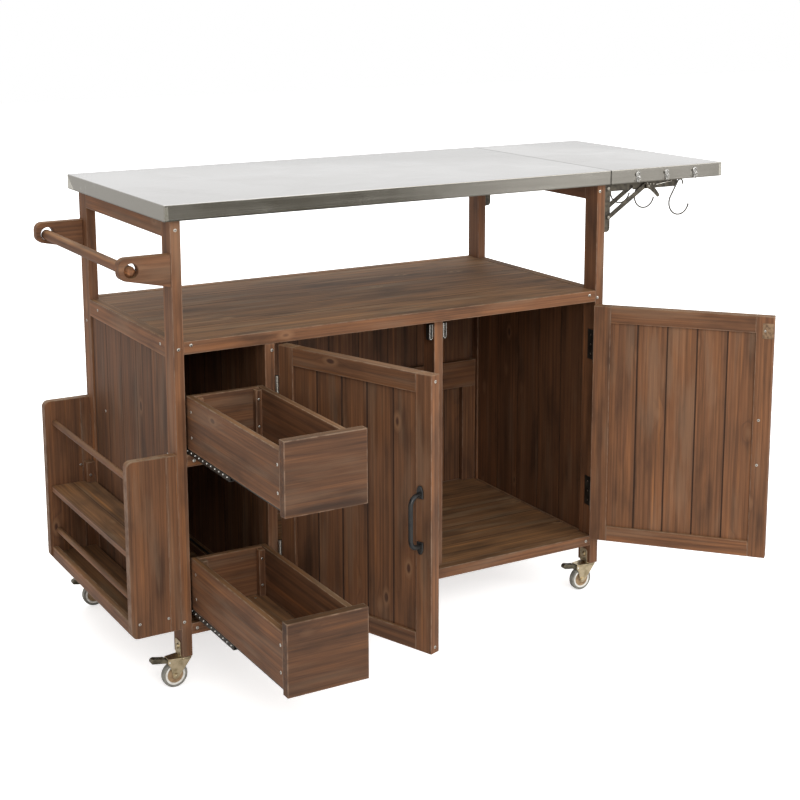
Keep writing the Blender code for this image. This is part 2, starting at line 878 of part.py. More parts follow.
def rack_panel(name, y, wood, socket_y):
    """An end panel of the rack, its two outer corners rounded, with blind sockets for the dowels."""
    inner = -HALF_LENGTH - FIT
    outer = RACK_OUTER_X
    corner = RACK_CORNER
    loop = [(inner, RACK_BOTTOM), (inner, RACK_TOP)]
    loop += arc((outer + corner, RACK_TOP - corner), corner, 90, 180, 5)
    loop += arc((outer + corner, RACK_BOTTOM + corner), corner, 180, 270, 5)
    panel = outline(name, [loop], RACK_PANEL_THICK, FACING_FRONT, (0, y, 0), wood, ROOT)
    x = RACK_OUTER_X + DOWEL_INSET
    toward = 1 if socket_y > y else -1
    for number, z in enumerate((UPPER_DOWEL_HEIGHT, LOWER_DOWEL_HEIGHT)):
        start = (x, socket_y + toward * SOCKET_DEPTH, z)
        end = (x, socket_y - toward * (SOCKET_DEPTH + FIT), z)
        socket = rod(f"{name}_socket_{number}", start, end, DOWEL_RADIUS + FIT, wood, ROOT, 16)
        cut(panel, socket)


def rack(wood):
    front_y = FRONT + RACK_PANEL_THICK / 2
    rear_y = BACK - RACK_PANEL_THICK / 2
    front_face = FRONT + RACK_PANEL_THICK
    rear_face = BACK - RACK_PANEL_THICK
    rack_panel("rack_front_panel", front_y, wood, front_face)
    rack_panel("rack_rear_panel", rear_y, wood, rear_face)
    x = RACK_OUTER_X + DOWEL_INSET
    for name, z in (("rack_upper_dowel", UPPER_DOWEL_HEIGHT), ("rack_lower_dowel", LOWER_DOWEL_HEIGHT)):
        start = (x, front_face - SOCKET_DEPTH, z)
        end = (x, rear_face + SOCKET_DEPTH, z)
        rod(name, start, end, DOWEL_RADIUS, wood, ROOT, 16)
    inner = -HALF_LENGTH - FIT
    depth = (front_face + FIT, rear_face - FIT)
    block(
        "rack_shelf",
        (RACK_OUTER_X + RACK_SHELF_SETBACK, inner),
        depth,
        (RACK_SHELF_TOP - RACK_BOARD_THICK, RACK_SHELF_TOP),
        wood,
        ROOT,
    )
    outer = RACK_OUTER_X + RACK_SHELF_SETBACK / 2
    low = RACK_BOTTOM + BOARD_RECESS
    profile = [
        (outer, low),
        (inner, low),
        (inner, low + RACK_BOARD_THICK),
        (outer + RACK_BOARD_THICK, low + RACK_BOARD_THICK),
        (outer + RACK_BOARD_THICK, low + RACK_LIP_HIGH),
        (outer, low + RACK_LIP_HIGH),
    ]
    outline(
        "rack_tray", [profile], depth[1] - depth[0], FACING_FRONT, (0, 0, 0), wood, ROOT
    )


# Towel bar


def towel_bracket(name, y, wood):
    inner = -HALF_LENGTH - FIT
    outer = inner - TOWEL_REACH
    top = TOWEL_BRACKET_TOP
    corner = TOWEL_CORNER
    slope = math.degrees(math.atan2(TOWEL_BRACKET_HIGH - TOWEL_END_HIGH, TOWEL_REACH))
    loop = [(inner, top - TOWEL_BRACKET_HIGH), (inner, top)]
    loop += arc((outer + corner, top - corner), corner, 90, 180, 5)
    low_corner = (outer + corner, top - TOWEL_END_HIGH + corner)
    loop += arc(low_corner, corner, 180, 270 - slope, 5)
    hole_x = -HALF_LENGTH - TOWEL_BAR_FROM_POST
    hole = circle((hole_x, top - TOWEL_HOLE_DROP), TOWEL_HOLE_RADIUS)
    outline(name, [loop, hole], TOWEL_BRACKET_THICK, FACING_FRONT, (0, y, 0), wood, ROOT)


def towel_rail(wood):
    half = TOWEL_BRACKET_THICK / 2
    towel_bracket("front_towel_bracket", FRONT + half, wood)
    towel_bracket("rear_towel_bracket", BACK - half, wood)
    # The bar lies loose on the lower side of its two holes.
    z = TOWEL_BRACKET_TOP - TOWEL_HOLE_DROP - TOWEL_HOLE_RADIUS + TOWEL_BAR_RADIUS + FIT
    x = -HALF_LENGTH - TOWEL_BAR_FROM_POST
    start = (x, FRONT + TOWEL_BAR_SHORT, z)
    end = (x, BACK - TOWEL_BAR_SHORT, z)
    rod("towel_bar", start, end, TOWEL_BAR_RADIUS, wood, ROOT)


# Folding brackets


def bracket_leg(name, y, black):
    """A channel screwed to the post's outer face: a web and two cheeks bored for the pins."""
    back = HALF_LENGTH + FIT
    reach = back + BRACKET_LEG_DEEP
    corner = BRACKET_LEG_CORNER
    low = BRACKET_LEG_BOTTOM + BRACKET_BEND
    top = BRACKET_LEG_TOP
    profile = [(back + BRACKET_BEND, low)]
    profile += arc((reach - corner, low + corner), corner, 270, 360, 5)
    profile += arc((reach - corner, top - BRACKET_BEND - corner), corner, 0, 90, 5)
    profile += [(back + BRACKET_BEND, top - BRACKET_BEND)]
    hole = BRACKET_PIN_RADIUS + PIN_CLEARANCE
    holes = [
        circle((PIVOT_X, PIVOT_Z), hole, 12),
        circle((PIVOT_X, PIVOT_Z - STRUT_PIVOT_DROP), hole, 12),
    ]
    half = (BRACKET_WIDE - BRACKET_PLATE) / 2
    leg = block(
        name,
        (back, back + BRACKET_PLATE),
        (y - half, y + half),
        (BRACKET_LEG_BOTTOM, top),
        black,
        ROOT,
    )
    for number, side in enumerate((-1, 1)):
        cheek = outline(
            f"{name}_cheek_{number}",
            [profile, *holes],
            BRACKET_PLATE,
            FACING_FRONT,
            (0, y + side * half, 0),
            black,
            ROOT,
        )
        join(leg, cheek)


def bracket_arm(name, y, axis, black):
    """A narrower channel under the flap, pinned in the leg and notched for the strut's pin."""
    half = BRACKET_WIDE / 2 - BRACKET_PLATE - FIT - BRACKET_PLATE / 2
    top = FLAP_PIVOT_DROP - FIT
    cheek_top = top - BRACKET_BEND
    end = ARM_END_CORNER
    profile = arc((0, 0), ARM_NOSE, 90, 270, 8)
    profile += [
        (STRUT_PIVOT_DROP - NOTCH_HALF, -ARM_NOSE),
        (STRUT_PIVOT_DROP - NOTCH_HALF, NOTCH_ABOVE_PIVOT),
        (STRUT_PIVOT_DROP + NOTCH_HALF, NOTCH_ABOVE_PIVOT),
        (STRUT_PIVOT_DROP + NOTCH_HALF, -ARM_NOSE),
    ]
    profile += arc((ARM_LENGTH - end, end - ARM_NOSE), end, 270, 360, 4)
    profile += [(ARM_LENGTH, cheek_top), (BRACKET_BEND, cheek_top)]
    arm = block(
        name,
        (0, ARM_LENGTH - BRACKET_BEND),
        (y - half, y + half),
        (top - BRACKET_PLATE, top),
        black,
        axis,
    )
    for number, side in enumerate((-1, 1)):
        middle = y + side * half
        cheek = outline(
            f"{name}_cheek_{number}",
            [profile],
            BRACKET_PLATE,
            FACING_FRONT,
            (0, middle, 0),
            black,
            axis,
        )
        pin = rod(
            f"{name}_pin_{number}",
            (0, middle, 0),
            (0, y + side * BRACKET_WIDE / 2, 0),
            BRACKET_PIN_RADIUS,
            black,
            axis,
            12,
        )
        join(arm, cheek, pin)


def bracket_strut(name, y, axis, black):
    """Two flat bars outside the leg, on one pin through it. Their far ends ride beside the arm."""
    rise = STRUT_PIVOT_DROP + STRUT_PIN_RISE
    slope = math.degrees(math.atan2(rise, STRUT_PIN_REACH))
    half = STRUT_WIDE / 2
    profile = arc((0, 0), half, slope + 90, slope + 270, 8)
    profile += arc((STRUT_PIN_REACH, rise), half, slope - 90, slope + 90, 8)
    out = BRACKET_WIDE / 2 + FIT + BRACKET_PLATE / 2
    strut = rod(name, (0, y - out, 0), (0, y + out, 0), BRACKET_PIN_RADIUS, black, axis, 12)
    for number, side in enumerate((-1, 1)):
        bar = outline(
            f"{name}_bar_{number}",
            [profile],
            BRACKET_PLATE,
            FACING_FRONT,
            (0, y + side * out, 0),
            black,
            axis,
        )
        join(strut, bar)


def folding_brackets(black, flap_axis):
    for name, y in (("front", -POST_Y), ("rear", POST_Y)):
        bracket_leg(f"{name}_bracket_leg", y, black)
        bracket_arm(f"{name}_bracket_arm", y, flap_axis, black)
        axis = empty(f"{name}_strut_axis", (PIVOT_X, 0, PIVOT_Z - STRUT_PIVOT_DROP), ROOT)
        bracket_strut(f"{name}_bracket_strut", y, axis, black)


# Hooks


def hook(name, inset, steel, flap_axis):
    """An S hook of round wire: a small eye at the top, a straight, and a wide open bend below."""
    apart = math.hypot(HOOK_SIDE, HOOK_DROP)
    lean = math.degrees(math.asin((HOOK_BEND_RADIUS - HOOK_EYE_RADIUS) / apart))
    left = math.degrees(math.atan2(HOOK_DROP, HOOK_SIDE)) - lean + 90
    path = arc((0, 0), HOOK_EYE_RADIUS, HOOK_EYE_OPEN, left, 10)
    path += arc((-HOOK_SIDE, -HOOK_DROP), HOOK_BEND_RADIUS, left, HOOK_BEND_END, 16)
    top = TOP_UNDERSIDE - FIT - HOOK_WIRE - HOOK_EYE_RADIUS
    at = (SEAM_X + HOOK_FROM_SEAM - PIVOT_X, inset - TOP_Y, top - PIVOT_Z)
    wire(name, [(u, 0.0, v) for u, v in path], HOOK_WIRE, at, steel, flap_axis)


def hooks(steel, flap_axis):
    hook("front_hook", FRONT_HOOK_INSET, steel, flap_axis)
    hook("middle_hook", MIDDLE_HOOK_INSET, steel, flap_axis)
    hook("rear_hook", REAR_HOOK_INSET, steel, flap_axis)


# Casters


def wheel(name, at, rubber, parent):
    """A turned wheel with a dished hub, bored for its axle and resting on a flat of its tread."""
    half = WHEEL_WIDE / 2
    bore = AXLE_RADIUS + PIN_CLEARANCE
    edge = TREAD_EDGE
    profile = [
        (WHEEL_RADIUS - edge, half),
        (WHEEL_RADIUS, half - edge),
        (WHEEL_RADIUS, edge - half),
        (WHEEL_RADIUS - edge, -half),
        (HUB_RADIUS, -half),
        (HUB_RADIUS, HUB_DISH - half),
        (bore, HUB_DISH - half),
        (bore, half - HUB_DISH),
        (HUB_RADIUS, half - HUB_DISH),
        (HUB_RADIUS, half),
    ]
    bm = bmesh.new()
    ring = [bm.verts.new((u, 0, v)) for u, v in profile]
    for number, vert in enumerate(ring):
        bm.edges.new((vert, ring[(number + 1) % len(ring)]))
    found = add_mesh(name, bm, at, parent, rubber)
    found.rotation_euler = (math.pi / 2, math.pi / WHEEL_SIDES, 0)
    turned = found.modifiers.new("turned", "SCREW")
    turned.axis = "Z"
    turned.steps = WHEEL_SIDES
    turned.render_steps = WHEEL_SIDES
    turned.use_merge_vertices = True
    turned.merge_threshold = WELD
    turned.use_smooth_shade = False


def fork(name, axis, wheel_at, zinc):
    """Crown plate, kingpin, two tapering cheeks and the axle, about the swivel axis."""
    inner = WHEEL_WIDE / 2 + FORK_GAP
    outer = inner + FORK_PLATE
    rear = -PEDAL_PIVOT_BACK - FORK_TAIL
    front = FORK_CROWN_RADIUS - 2 * FORK_PLATE
    middle = (CROWN_LOW + CROWN_TOP) / 2
    plate = arc((0, 0), FORK_CROWN_RADIUS, -FORK_CROWN_ARC, FORK_CROWN_ARC, 16)
    plate += [(rear, outer + FORK_EDGE), (rear, -outer - FORK_EDGE)]
    crown = outline(name, [plate], FORK_CROWN_THICK, LEVEL, (0, 0, middle), zinc, axis)
    kingpin = rod(
        f"{name}_kingpin", (0, 0, middle), (0, 0, POST_BOTTOM - FIT), KINGPIN_RADIUS, zinc, axis, 16
    )
    join(crown, kingpin)
    pedal_z = CROWN_LOW - PEDAL_PIVOT_DROP
    profile = [(rear + FORK_EDGE, middle), (rear + FORK_EDGE, pedal_z - FORK_TAIL)]
    profile += arc(
        (wheel_at[0], wheel_at[2]),
        2 * AXLE_RADIUS,
        270 - FORK_CHEEK_ARC,
        270 + FORK_CHEEK_ARC,
        6,
    )
    profile += [(front, CROWN_LOW - FORK_PLATE), (front, middle)]
    pedal_hole = circle(
        (-PEDAL_PIVOT_BACK, pedal_z), PEDAL_PIN_RADIUS + PIN_CLEARANCE, 12
    )
    for number, side in enumerate((-1, 1)):
        at = (0, side * (inner + outer) / 2, 0)
        cheek = outline(
            f"{name}_cheek_{number}", [profile, pedal_hole], FORK_PLATE, FACING_FRONT, at, zinc, axis
        )
        join(crown, cheek)
    x, _, z = wheel_at
    reach = outer + FORK_PLATE / 2
    axle = rod(f"{name}_axle", (x, -reach, z), (x, reach, z), AXLE_RADIUS, zinc, axis, 16)
    join(crown, axle)


def pedal(name, axis, dark):
    """The brake lever, tilted up while the wheel is free, with its pin through both cheeks."""
    pivot = empty(f"{name}_axis", (-PEDAL_PIVOT_BACK, 0, CROWN_LOW - PEDAL_PIVOT_DROP), axis)
    pivot.rotation_euler.y = math.radians(PEDAL_TILT)
    half = PEDAL_THICK / 2
    profile = [(half, -half), (half, half)]
    profile += arc((half - PEDAL_LENGTH, 0), half, 90, 270, 6)
    lever = outline(name, [profile], WHEEL_WIDE, FACING_FRONT, (0, 0, 0), dark, pivot)
    reach = WHEEL_WIDE / 2 + FORK_GAP + FORK_PLATE
    pin = rod(f"{name}_pin", (0, -reach, 0), (0, reach, 0), PEDAL_PIN_RADIUS, dark, pivot, 12)
    join(lever, pin)


def casters(zinc, rubber, dark):
    # The tread's flat lies on the ground, so the axle is one apothem up.
    axle_z = WHEEL_RADIUS * math.cos(math.pi / WHEEL_SIDES)
    wheel_at = (-CASTER_TRAIL, 0, axle_z)
    for side, x in (("left", -POST_X), ("right", POST_X)):
        for end, y in (("front", -POST_Y), ("rear", POST_Y)):
            axis = empty(f"{end}_{side}_swivel_axis", (x, y, 0), ROOT)
            fork(f"{end}_{side}_fork", axis, wheel_at, zinc)
            wheel(f"{end}_{side}_wheel", wheel_at, rubber, axis)
            pedal(f"{end}_{side}_brake_pedal", axis, dark)


# The whole cart


def build():
    global PARTS, CUTTERS, ROOT
    clear_scene()
    PARTS = new_collection("outdoor_kitchen_cart")
    CUTTERS = new_collection("cutters")
    ends = (RACK_OUTER_X, FLAP_END_X)
    sides = (FRONT - DRAWER_TRAVEL, TOP_Y)
    ROOT = empty("cart", (-sum(ends) / 2, -sum(sides) / 2, 0))
    wood = material("stained_timber", (0.16, 0.07, 0.04), 0.65)
    core_wood = material("core_timber", (0.30, 0.18, 0.10), 0.75)
    steel = material("brushed_steel", (0.62, 0.61, 0.58), 0.32, 1.0)
    black = material("black_steel", (0.02, 0.018, 0.016), 0.45, 0.6)
    zinc = material("zinc_plate", (0.62, 0.50, 0.32), 0.35, 1.0)
    rubber = material("grey_tread", (0.16, 0.15, 0.14), 0.6)
    chrome = material("chromed_wire", (0.75, 0.75, 0.73), 0.15, 1.0)
    dark = material("dark_pedal", (0.05, 0.045, 0.04), 0.5, 0.2)

    posts(wood)
    inner_posts(wood)
    framed_boards("deck", DECK_HEIGHT, DECK_RAIL_HIGH, DECK_SIDE_RAIL_HIGH, DECK_BOARDS, wood)
    framed_boards("floor", FLOOR_HEIGHT, FLOOR_RAIL_HIGH, FLOOR_RAIL_HIGH, FLOOR_BOARDS, wood)
    panels(wood)
    worktop(steel, core_wood)
    drawers(wood, black)
    doors(wood, black)
    rack(wood)
    towel_rail(wood)
    flap_axis = empty("flap_axis", (PIVOT_X, 0, PIVOT_Z), ROOT)
    flap(steel, core_wood, flap_axis)
    folding_brackets(black, flap_axis)
    hooks(chrome, flap_axis)
    casters(zinc, rubber, dark)


build()
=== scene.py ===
import math
import random

import bmesh
import bpy
from mathutils import Matrix, Vector
from mathutils.geometry import intersect_line_line_2d


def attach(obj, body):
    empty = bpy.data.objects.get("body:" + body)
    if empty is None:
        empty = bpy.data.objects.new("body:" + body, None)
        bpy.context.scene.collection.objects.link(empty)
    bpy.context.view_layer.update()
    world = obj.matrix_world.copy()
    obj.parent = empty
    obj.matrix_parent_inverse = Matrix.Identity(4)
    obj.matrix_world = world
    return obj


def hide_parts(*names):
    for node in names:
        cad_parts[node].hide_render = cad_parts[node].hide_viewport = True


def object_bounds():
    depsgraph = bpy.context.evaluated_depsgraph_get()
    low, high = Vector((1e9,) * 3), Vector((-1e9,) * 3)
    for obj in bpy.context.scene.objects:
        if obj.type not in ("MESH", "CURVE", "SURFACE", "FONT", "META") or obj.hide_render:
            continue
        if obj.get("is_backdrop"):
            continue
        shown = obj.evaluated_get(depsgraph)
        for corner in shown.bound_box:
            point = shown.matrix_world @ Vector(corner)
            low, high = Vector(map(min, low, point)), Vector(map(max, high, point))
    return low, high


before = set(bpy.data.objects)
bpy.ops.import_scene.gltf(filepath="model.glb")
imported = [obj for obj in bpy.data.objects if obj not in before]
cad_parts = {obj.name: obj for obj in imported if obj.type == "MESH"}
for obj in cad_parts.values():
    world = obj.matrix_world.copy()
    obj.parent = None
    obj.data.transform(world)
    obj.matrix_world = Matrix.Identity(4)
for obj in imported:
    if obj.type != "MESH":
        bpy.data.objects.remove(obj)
cad_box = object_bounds()

# Camera, floor and light.
# A pale floor under a white surround, lit by three large soft lamps.
# The camera stands at the left front corner, a little above the worktop, with a long lens.
SHIFT = Vector((-0.10225, 0.194, 0.0))  # from the middle of the four posts to the model's origin
STAND = Vector((-1.51448, -2.84783, 1.32538))  # the camera, from the middle of the four posts
AIM = (
    (0.8652814, 0.097308, -0.4917512),
    (-0.5012809, 0.1633592, -0.8497242),
    (-0.0023529, 0.981756, 0.1901303),
)
LIT = Vector((0, 0, 0.5))  # the point that the lamps face
WHITE = (1.0, 1.0, 1.0, 1.0)
LAMPS = (
    ("key_lamp", (-1.2, -4.4, 2.9), (3.0, 2.4), 120),
    ("fill_lamp", (2.6, -3.6, 1.9), (2.4, 2.0), 60),
    ("top_lamp", (0.0, 1.2, 3.6), (3.0, 2.0), 40),
)


def linked(name, data):
    """An object of this data, in the scene."""
    made = bpy.data.objects.new(name, data)
    bpy.context.scene.collection.objects.link(made)
    return made


def feed(tree, made, inputs):
    """Gives a node's inputs a value each, or a link from another node's output."""
    for key, value in inputs.items():
        if isinstance(value, bpy.types.NodeSocket):
            tree.links.new(value, made.inputs[key])
        else:
            made.inputs[key].default_value = value


def node(tree, kind, inputs=None, **settings):
    made = tree.nodes.new(kind)
    for key, value in settings.items():
        setattr(made, key, value)
    feed(tree, made, inputs or {})
    return made


def worked(tree, operation, *values):
    """The result of a sum on numbers or sockets."""
    return node(tree, "ShaderNodeMath", dict(enumerate(values)), operation=operation).outputs[0]


def noise(tree, vector, scale, detail=2.0, **more):
    inputs = {"Scale": scale, "Detail": detail, **more}
    if vector is not None:
        inputs["Vector"] = vector
    return node(tree, "ShaderNodeTexNoise", inputs).outputs["Fac"]


def between(tree, value, low, high, bottom=0.0, top=1.0, soft=False):
    """Maps a value from one range to another, held at its ends."""
    inputs = {"Value": value, "From Min": low, "From Max": high, "To Min": bottom, "To Max": top}
    steps = "SMOOTHSTEP" if soft else "LINEAR"
    return node(tree, "ShaderNodeMapRange", inputs, interpolation_type=steps).outputs[0]


def coordinate(tree, kind="Object"):
    return node(tree, "ShaderNodeTexCoord").outputs[kind]


def new_material(name):
    """A material, its node tree and its shader."""
    made = bpy.data.materials.new(name)
    made.use_nodes = True
    return made, made.node_tree, made.node_tree.nodes["Principled BSDF"]


def mesh_of(name, bm, materials):
    mesh = bpy.data.meshes.new(name)
    bm.to_mesh(mesh)
    bm.free()
    for surface in materials if isinstance(materials, tuple) else (materials,):
        mesh.materials.append(surface)
    return mesh


def flat_stage(name, material, size, at, turn=(0.0, 0.0, 0.0)):
    bm = bmesh.new()
    bmesh.ops.create_grid(bm, x_segments=1, y_segments=1, size=size)
    made = linked(name, mesh_of(name, bm, material))
    made.location = at
    made.rotation_euler = turn
    made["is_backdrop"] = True
    return made


camera = linked("camera", bpy.data.cameras.new("camera"))
camera.data.lens = 70.237
camera.data.sensor_width = 36.0
camera.data.shift_y = -0.15
camera.data.clip_start = 0.05
camera.matrix_world = Matrix.Translation(STAND + SHIFT) @ Matrix(AIM).to_4x4()
bpy.context.scene.camera = camera
bpy.context.scene.view_settings.view_transform = "Standard"

world = bpy.data.worlds.new("surround")
bpy.context.scene.world = world
world.use_nodes = True
tree = world.node_tree
tree.nodes.clear()
rays = node(tree, "ShaderNodeLightPath").outputs
seen = worked(tree, "MAXIMUM", rays["Is Camera Ray"], rays["Is Glossy Ray"])
clear = worked(tree, "MAXIMUM", seen, rays["Is Transmission Ray"])
soft = node(tree, "ShaderNodeBackground", {"Color": (1.0, 0.985, 0.96, 1.0), "Strength": 0.78})
white = node(tree, "ShaderNodeBackground", {"Color": WHITE, "Strength": 1.0})
pick = node(tree, "ShaderNodeMixShader", {0: clear, 1: soft.outputs[0], 2: white.outputs[0]})
node(tree, "ShaderNodeOutputWorld", {"Surface": pick.outputs[0]})

for name, at, size, power in LAMPS:
    data = bpy.data.lights.new(name, "AREA")
    data.shape = "RECTANGLE"
    data.size, data.size_y = size
    data.energy = power
    lamp = linked(name, data)
    lamp.location = at
    lamp.rotation_euler = (LIT - Vector(at)).to_track_quat("-Z", "Y").to_euler()

floor_material, tree, surface = new_material("pale_floor")
# Seen directly, the floor is lifted to the white of the surround, and fully so away from the cart.
away = node(tree, "ShaderNodeVectorMath", {0: coordinate(tree)}, operation="LENGTH").outputs["Value"]
direct = node(tree, "ShaderNodeLightPath").outputs["Is Camera Ray"]
lifted = worked(tree, "MULTIPLY", between(tree, away, 0.7, 2.2, 0.6, 1.0), direct)
floor_inputs = {
    "Base Color": between(tree, noise(tree, None, 3.0), 0.0, 1.0, 0.93, 0.96),
    "Roughness": 0.9,
    "Specular IOR Level": 0.1,
    "Emission Color": WHITE,
    "Emission Strength": lifted,
}
feed(tree, surface, floor_inputs)
flat_stage("studio_floor", floor_material, 14.0, (0, 0, -0.0005))

# A dark board in front of the cart, glowing faintly warm, which shows only in the steel's reflections: a
# painted reflection that darkens the steel's skirts.
flag_material, tree, surface = new_material("black_flag")
flag_inputs = {
    "Base Color": (0.02, 0.02, 0.018, 1.0),
    "Roughness": 0.95,
    # The faint glow is painted light, setting how bright the board shows in the reflections.
    "Emission Color": (1.0, 0.9, 0.62, 1.0),
    "Emission Strength": 0.11,
}
feed(tree, surface, flag_inputs)
flag = flat_stage("studio_flag", flag_material, 0.66, (0.7, -2.2, 0.55), (math.pi / 2, 0, 0))
flag.visible_camera = False
flag.visible_diffuse = False
flag.visible_shadow = False

# Casters.
# Zinc-plated fork, grey tread on a bronze hub with a white ring, and a dark brake pedal.
# Each turns under a saddle whose two flanges are bolted to the foot of its post.
rng = random.Random(11)
UP = (0, 0, 1)
# The rings of a rod's rounded end: their part of its radius, and how far out they stand.
CAP = ((0.55, 0.405), (0.88, 0.135), (1.0, 0.0))


def publish(name, bm, materials, body, stands_for="", smooth=20.0):
    """Makes the object of a mesh built in cabinet coordinates, and lets it ride on its body."""
    bmesh.ops.remove_doubles(bm, verts=bm.verts, dist=1e-6)
    bmesh.ops.translate(bm, vec=SHIFT, verts=bm.verts)
    bmesh.ops.recalc_face_normals(bm, faces=bm.faces)
    piece = linked(name, mesh_of(name, bm, materials))
    piece.data.shade_smooth()
    piece.data.set_sharp_from_angle(angle=math.radians(smooth))
    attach(piece, body)
    if stands_for:
        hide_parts(stands_for)


def dress(part, bm, materials, body, smooth=20.0):
    """Publishes the piece that is shown in place of a CAD solid."""
    publish(f"{part}_dressed", bm, materials, body, part, smooth)


def arc(centre, radius, start, end, steps):
    turns = [math.radians(start + (end - start) * step / steps) for step in range(steps + 1)]
    return [(centre[0] + radius * math.cos(a), centre[1] + radius * math.sin(a)) for a in turns]


def circle(radius, steps):
    return arc((0, 0), radius, 0, 360, steps)[:-1]


def pairs(ring):
    """Each item of a closed ring with the one after it."""
    return zip(ring, ring[1:] + ring[:1])


def bridge(bm, near, far, slot=0):
    """A band of faces between two closed rings of points."""
    for (a, b), (d, c) in zip(pairs(near), pairs(far)):
        bm.faces.new((a, b, c, d)).material_index = slot


def facing(at, out):
    """Stands something built along Z on a point, to look along out."""
    turn = Vector(UP).rotation_difference(Vector(out))
    return Matrix.Translation(Vector(at)) @ turn.to_matrix().to_4x4()


def turned(bm, profile, at, along=(0, 1, 0), steps=32, slot=0):
    """A ring or disc turned from a closed profile of (radius, height) about an axis."""
    place = facing(at, along)
    rings = []
    for radius, height in profile:
        rings.append([bm.verts.new(place @ Vector((u, v, height))) for u, v in circle(radius, steps)])
    for near, far in pairs(rings):
        bridge(bm, near, far, slot)


def round_bar(bm, points, radius, sides=12, slot=0):
    """A round wire or rod through points, with rounded ends."""
    points = [Vector(point) for point in points]
    last = len(points) - 1
    rings = []
    side = None
    for number, point in enumerate(points):
        forward = (points[min(number + 1, last)] - points[max(number - 1, 0)]).normalized()
        if side is None:
            side = forward.orthogonal().normalized()
        side = (side - forward * side.dot(forward)).normalized()
        other = forward.cross(side)
        out = -forward if number == 0 else forward
        for shrink, push in CAP if number == 0 else CAP[::-1] if number == last else CAP[-1:]:
            centre = point + out * (push * radius)
            ring = circle(radius * shrink, sides)
            rings.append([bm.verts.new(centre + side * u + other * v) for u, v in ring])
    for near, far in zip(rings, rings[1:]):
        bridge(bm, near, far, slot)
    for ring in (rings[0][::-1], rings[-1]):
        bm.faces.new(ring).material_index = slot


def eased(bm, made, edges, **settings):
    """Bevels edges, and gives all points of what they belong to."""
    result = bmesh.ops.bevel(bm, geom=list(edges), affect="EDGES", **settings)
    return {vert for vert in made if vert.is_valid} | set(result["verts"])


def eased_box(bm, lo, hi, bevel):
    """A box between two corners."""
    lo, hi = Vector(lo), Vector(hi)
    fit = Matrix.LocRotScale((lo + hi) / 2, None, hi - lo)
    made = bmesh.ops.create_cube(bm, size=1.0, matrix=fit)["verts"]
    edges = {edge for vert in made for edge in vert.link_edges}
    return eased(bm, made, edges, offset=bevel, segments=2, profile=0.6)


def eased_prism(bm, loop, thick, bevel, segments):
    """A solid of even thickness about the XY plane, on an outline."""
    low, high = ([bm.verts.new((u, v, z)) for u, v in loop] for z in (-thick / 2, thick / 2))
    bm.faces.new(low[::-1])
    bm.faces.new(high)
    bridge(bm, low, high)
    edges = [bm.edges.get(pair) for ring in (low, high) for pair in pairs(ring)]
    return eased(bm, low + high, edges, offset=bevel, segments=segments)


def faces_on(verts):
    return {face for vert in verts for face in vert.link_faces}


def settle(bm, verts, place, slot):
    for face in faces_on(verts):
        face.material_index = slot
    bmesh.ops.transform(bm, matrix=place, verts=list(verts))


def slab(bm, lo, hi, bevel=0.0006, place=Matrix(), slot=0):
    """A metal or plastic box with eased edges, between two corners."""
    settle(bm, eased_box(bm, lo, hi, bevel), place, slot)


def plate(bm, loop, thick, place, bevel=0.0004):
    """A flat plate cut to an outline in its own XY plane, with eased edges."""
    settle(bm, eased_prism(bm, loop, thick, bevel, 1), place, 0)


FACING_FRONT = Matrix.Rotation(math.pi / 2, 4, "X")
FACING_SIDE = Matrix.Rotation(math.pi / 2, 4, "Z") @ FACING_FRONT


def upright(y, x=0.0, z=0.0):
    """Stands an outline of (x, z) up to face the front, at a depth."""
    return Matrix.Translation((x, y, z)) @ FACING_FRONT


def group_of(name, inputs, outputs):
    """A shader node group with its sockets, and its input and output nodes."""
    tree = bpy.data.node_groups.new(name, "ShaderNodeTree")
    for label, kind, value in inputs:
        socket = tree.interface.new_socket(label, in_out="INPUT", socket_type=kind)
        if value is not None:
            socket.default_value = value
    for label, kind in outputs:
        tree.interface.new_socket(label, in_out="OUTPUT", socket_type=kind)
    return tree, tree.nodes.new("NodeGroupInput").outputs, tree.nodes.new("NodeGroupOutput")


def mixed(tree, factor, first, second, way="MIX"):
    """One colour over another. A colour may be a socket or three numbers."""
    inputs = {"Factor": factor}
    for key, colour in ((6, first), (7, second)):
        inputs[key] = (*colour, 1.0) if isinstance(colour, tuple) else colour
    return node(tree, "ShaderNodeMix", inputs, data_type="RGBA", blend_type=way).outputs[2]


def scaled_by(tree, vector, value):
    return node(tree, "ShaderNodeVectorMath", {0: vector, "Scale": value}, operation="SCALE").outputs[0]


def relief(tree, height, strength, distance, **more):
    inputs = {"Height": height, "Strength": strength, "Distance": distance, **more}
    return node(tree, "ShaderNodeBump", inputs).outputs["Normal"]


# Dirt and unevenness that every metal of the cart carries, from object coordinates.
NUMBER = "NodeSocketFloat"
wear, given, gives = group_of("handling", [("Scale", NUMBER, 1.0)], [("Grime", NUMBER), ("Height", NUMBER)])
scaled = scaled_by(wear, coordinate(wear), given["Scale"])
blots = between(wear, noise(wear, scaled, 60.0, 4.0), 0.42, 0.68)
feed(wear, gives, {"Grime": blots, "Height": noise(wear, scaled, 900.0)})


GRIMY = 0.18  # what grime adds to a metal's roughness


def metal(name, bright, dull, rough, metallic=1.0, scale=1.0, bump=0.05):
    """A worn metal: a clean and a dull colour mixed by grime, with roughness to match."""
    made, tree, surface = new_material(name)
    handled = node(tree, "ShaderNodeGroup", {"Scale": scale}, node_tree=wear).outputs
    inputs = {
        "Base Color": mixed(tree, handled["Grime"], bright, dull),
        "Roughness": between(tree, handled["Grime"], 0.0, 1.0, rough, rough + GRIMY),
        "Metallic": metallic,
        "Normal": relief(tree, handled["Height"], bump, 0.0004),
    }
    feed(tree, surface, inputs)
    return made


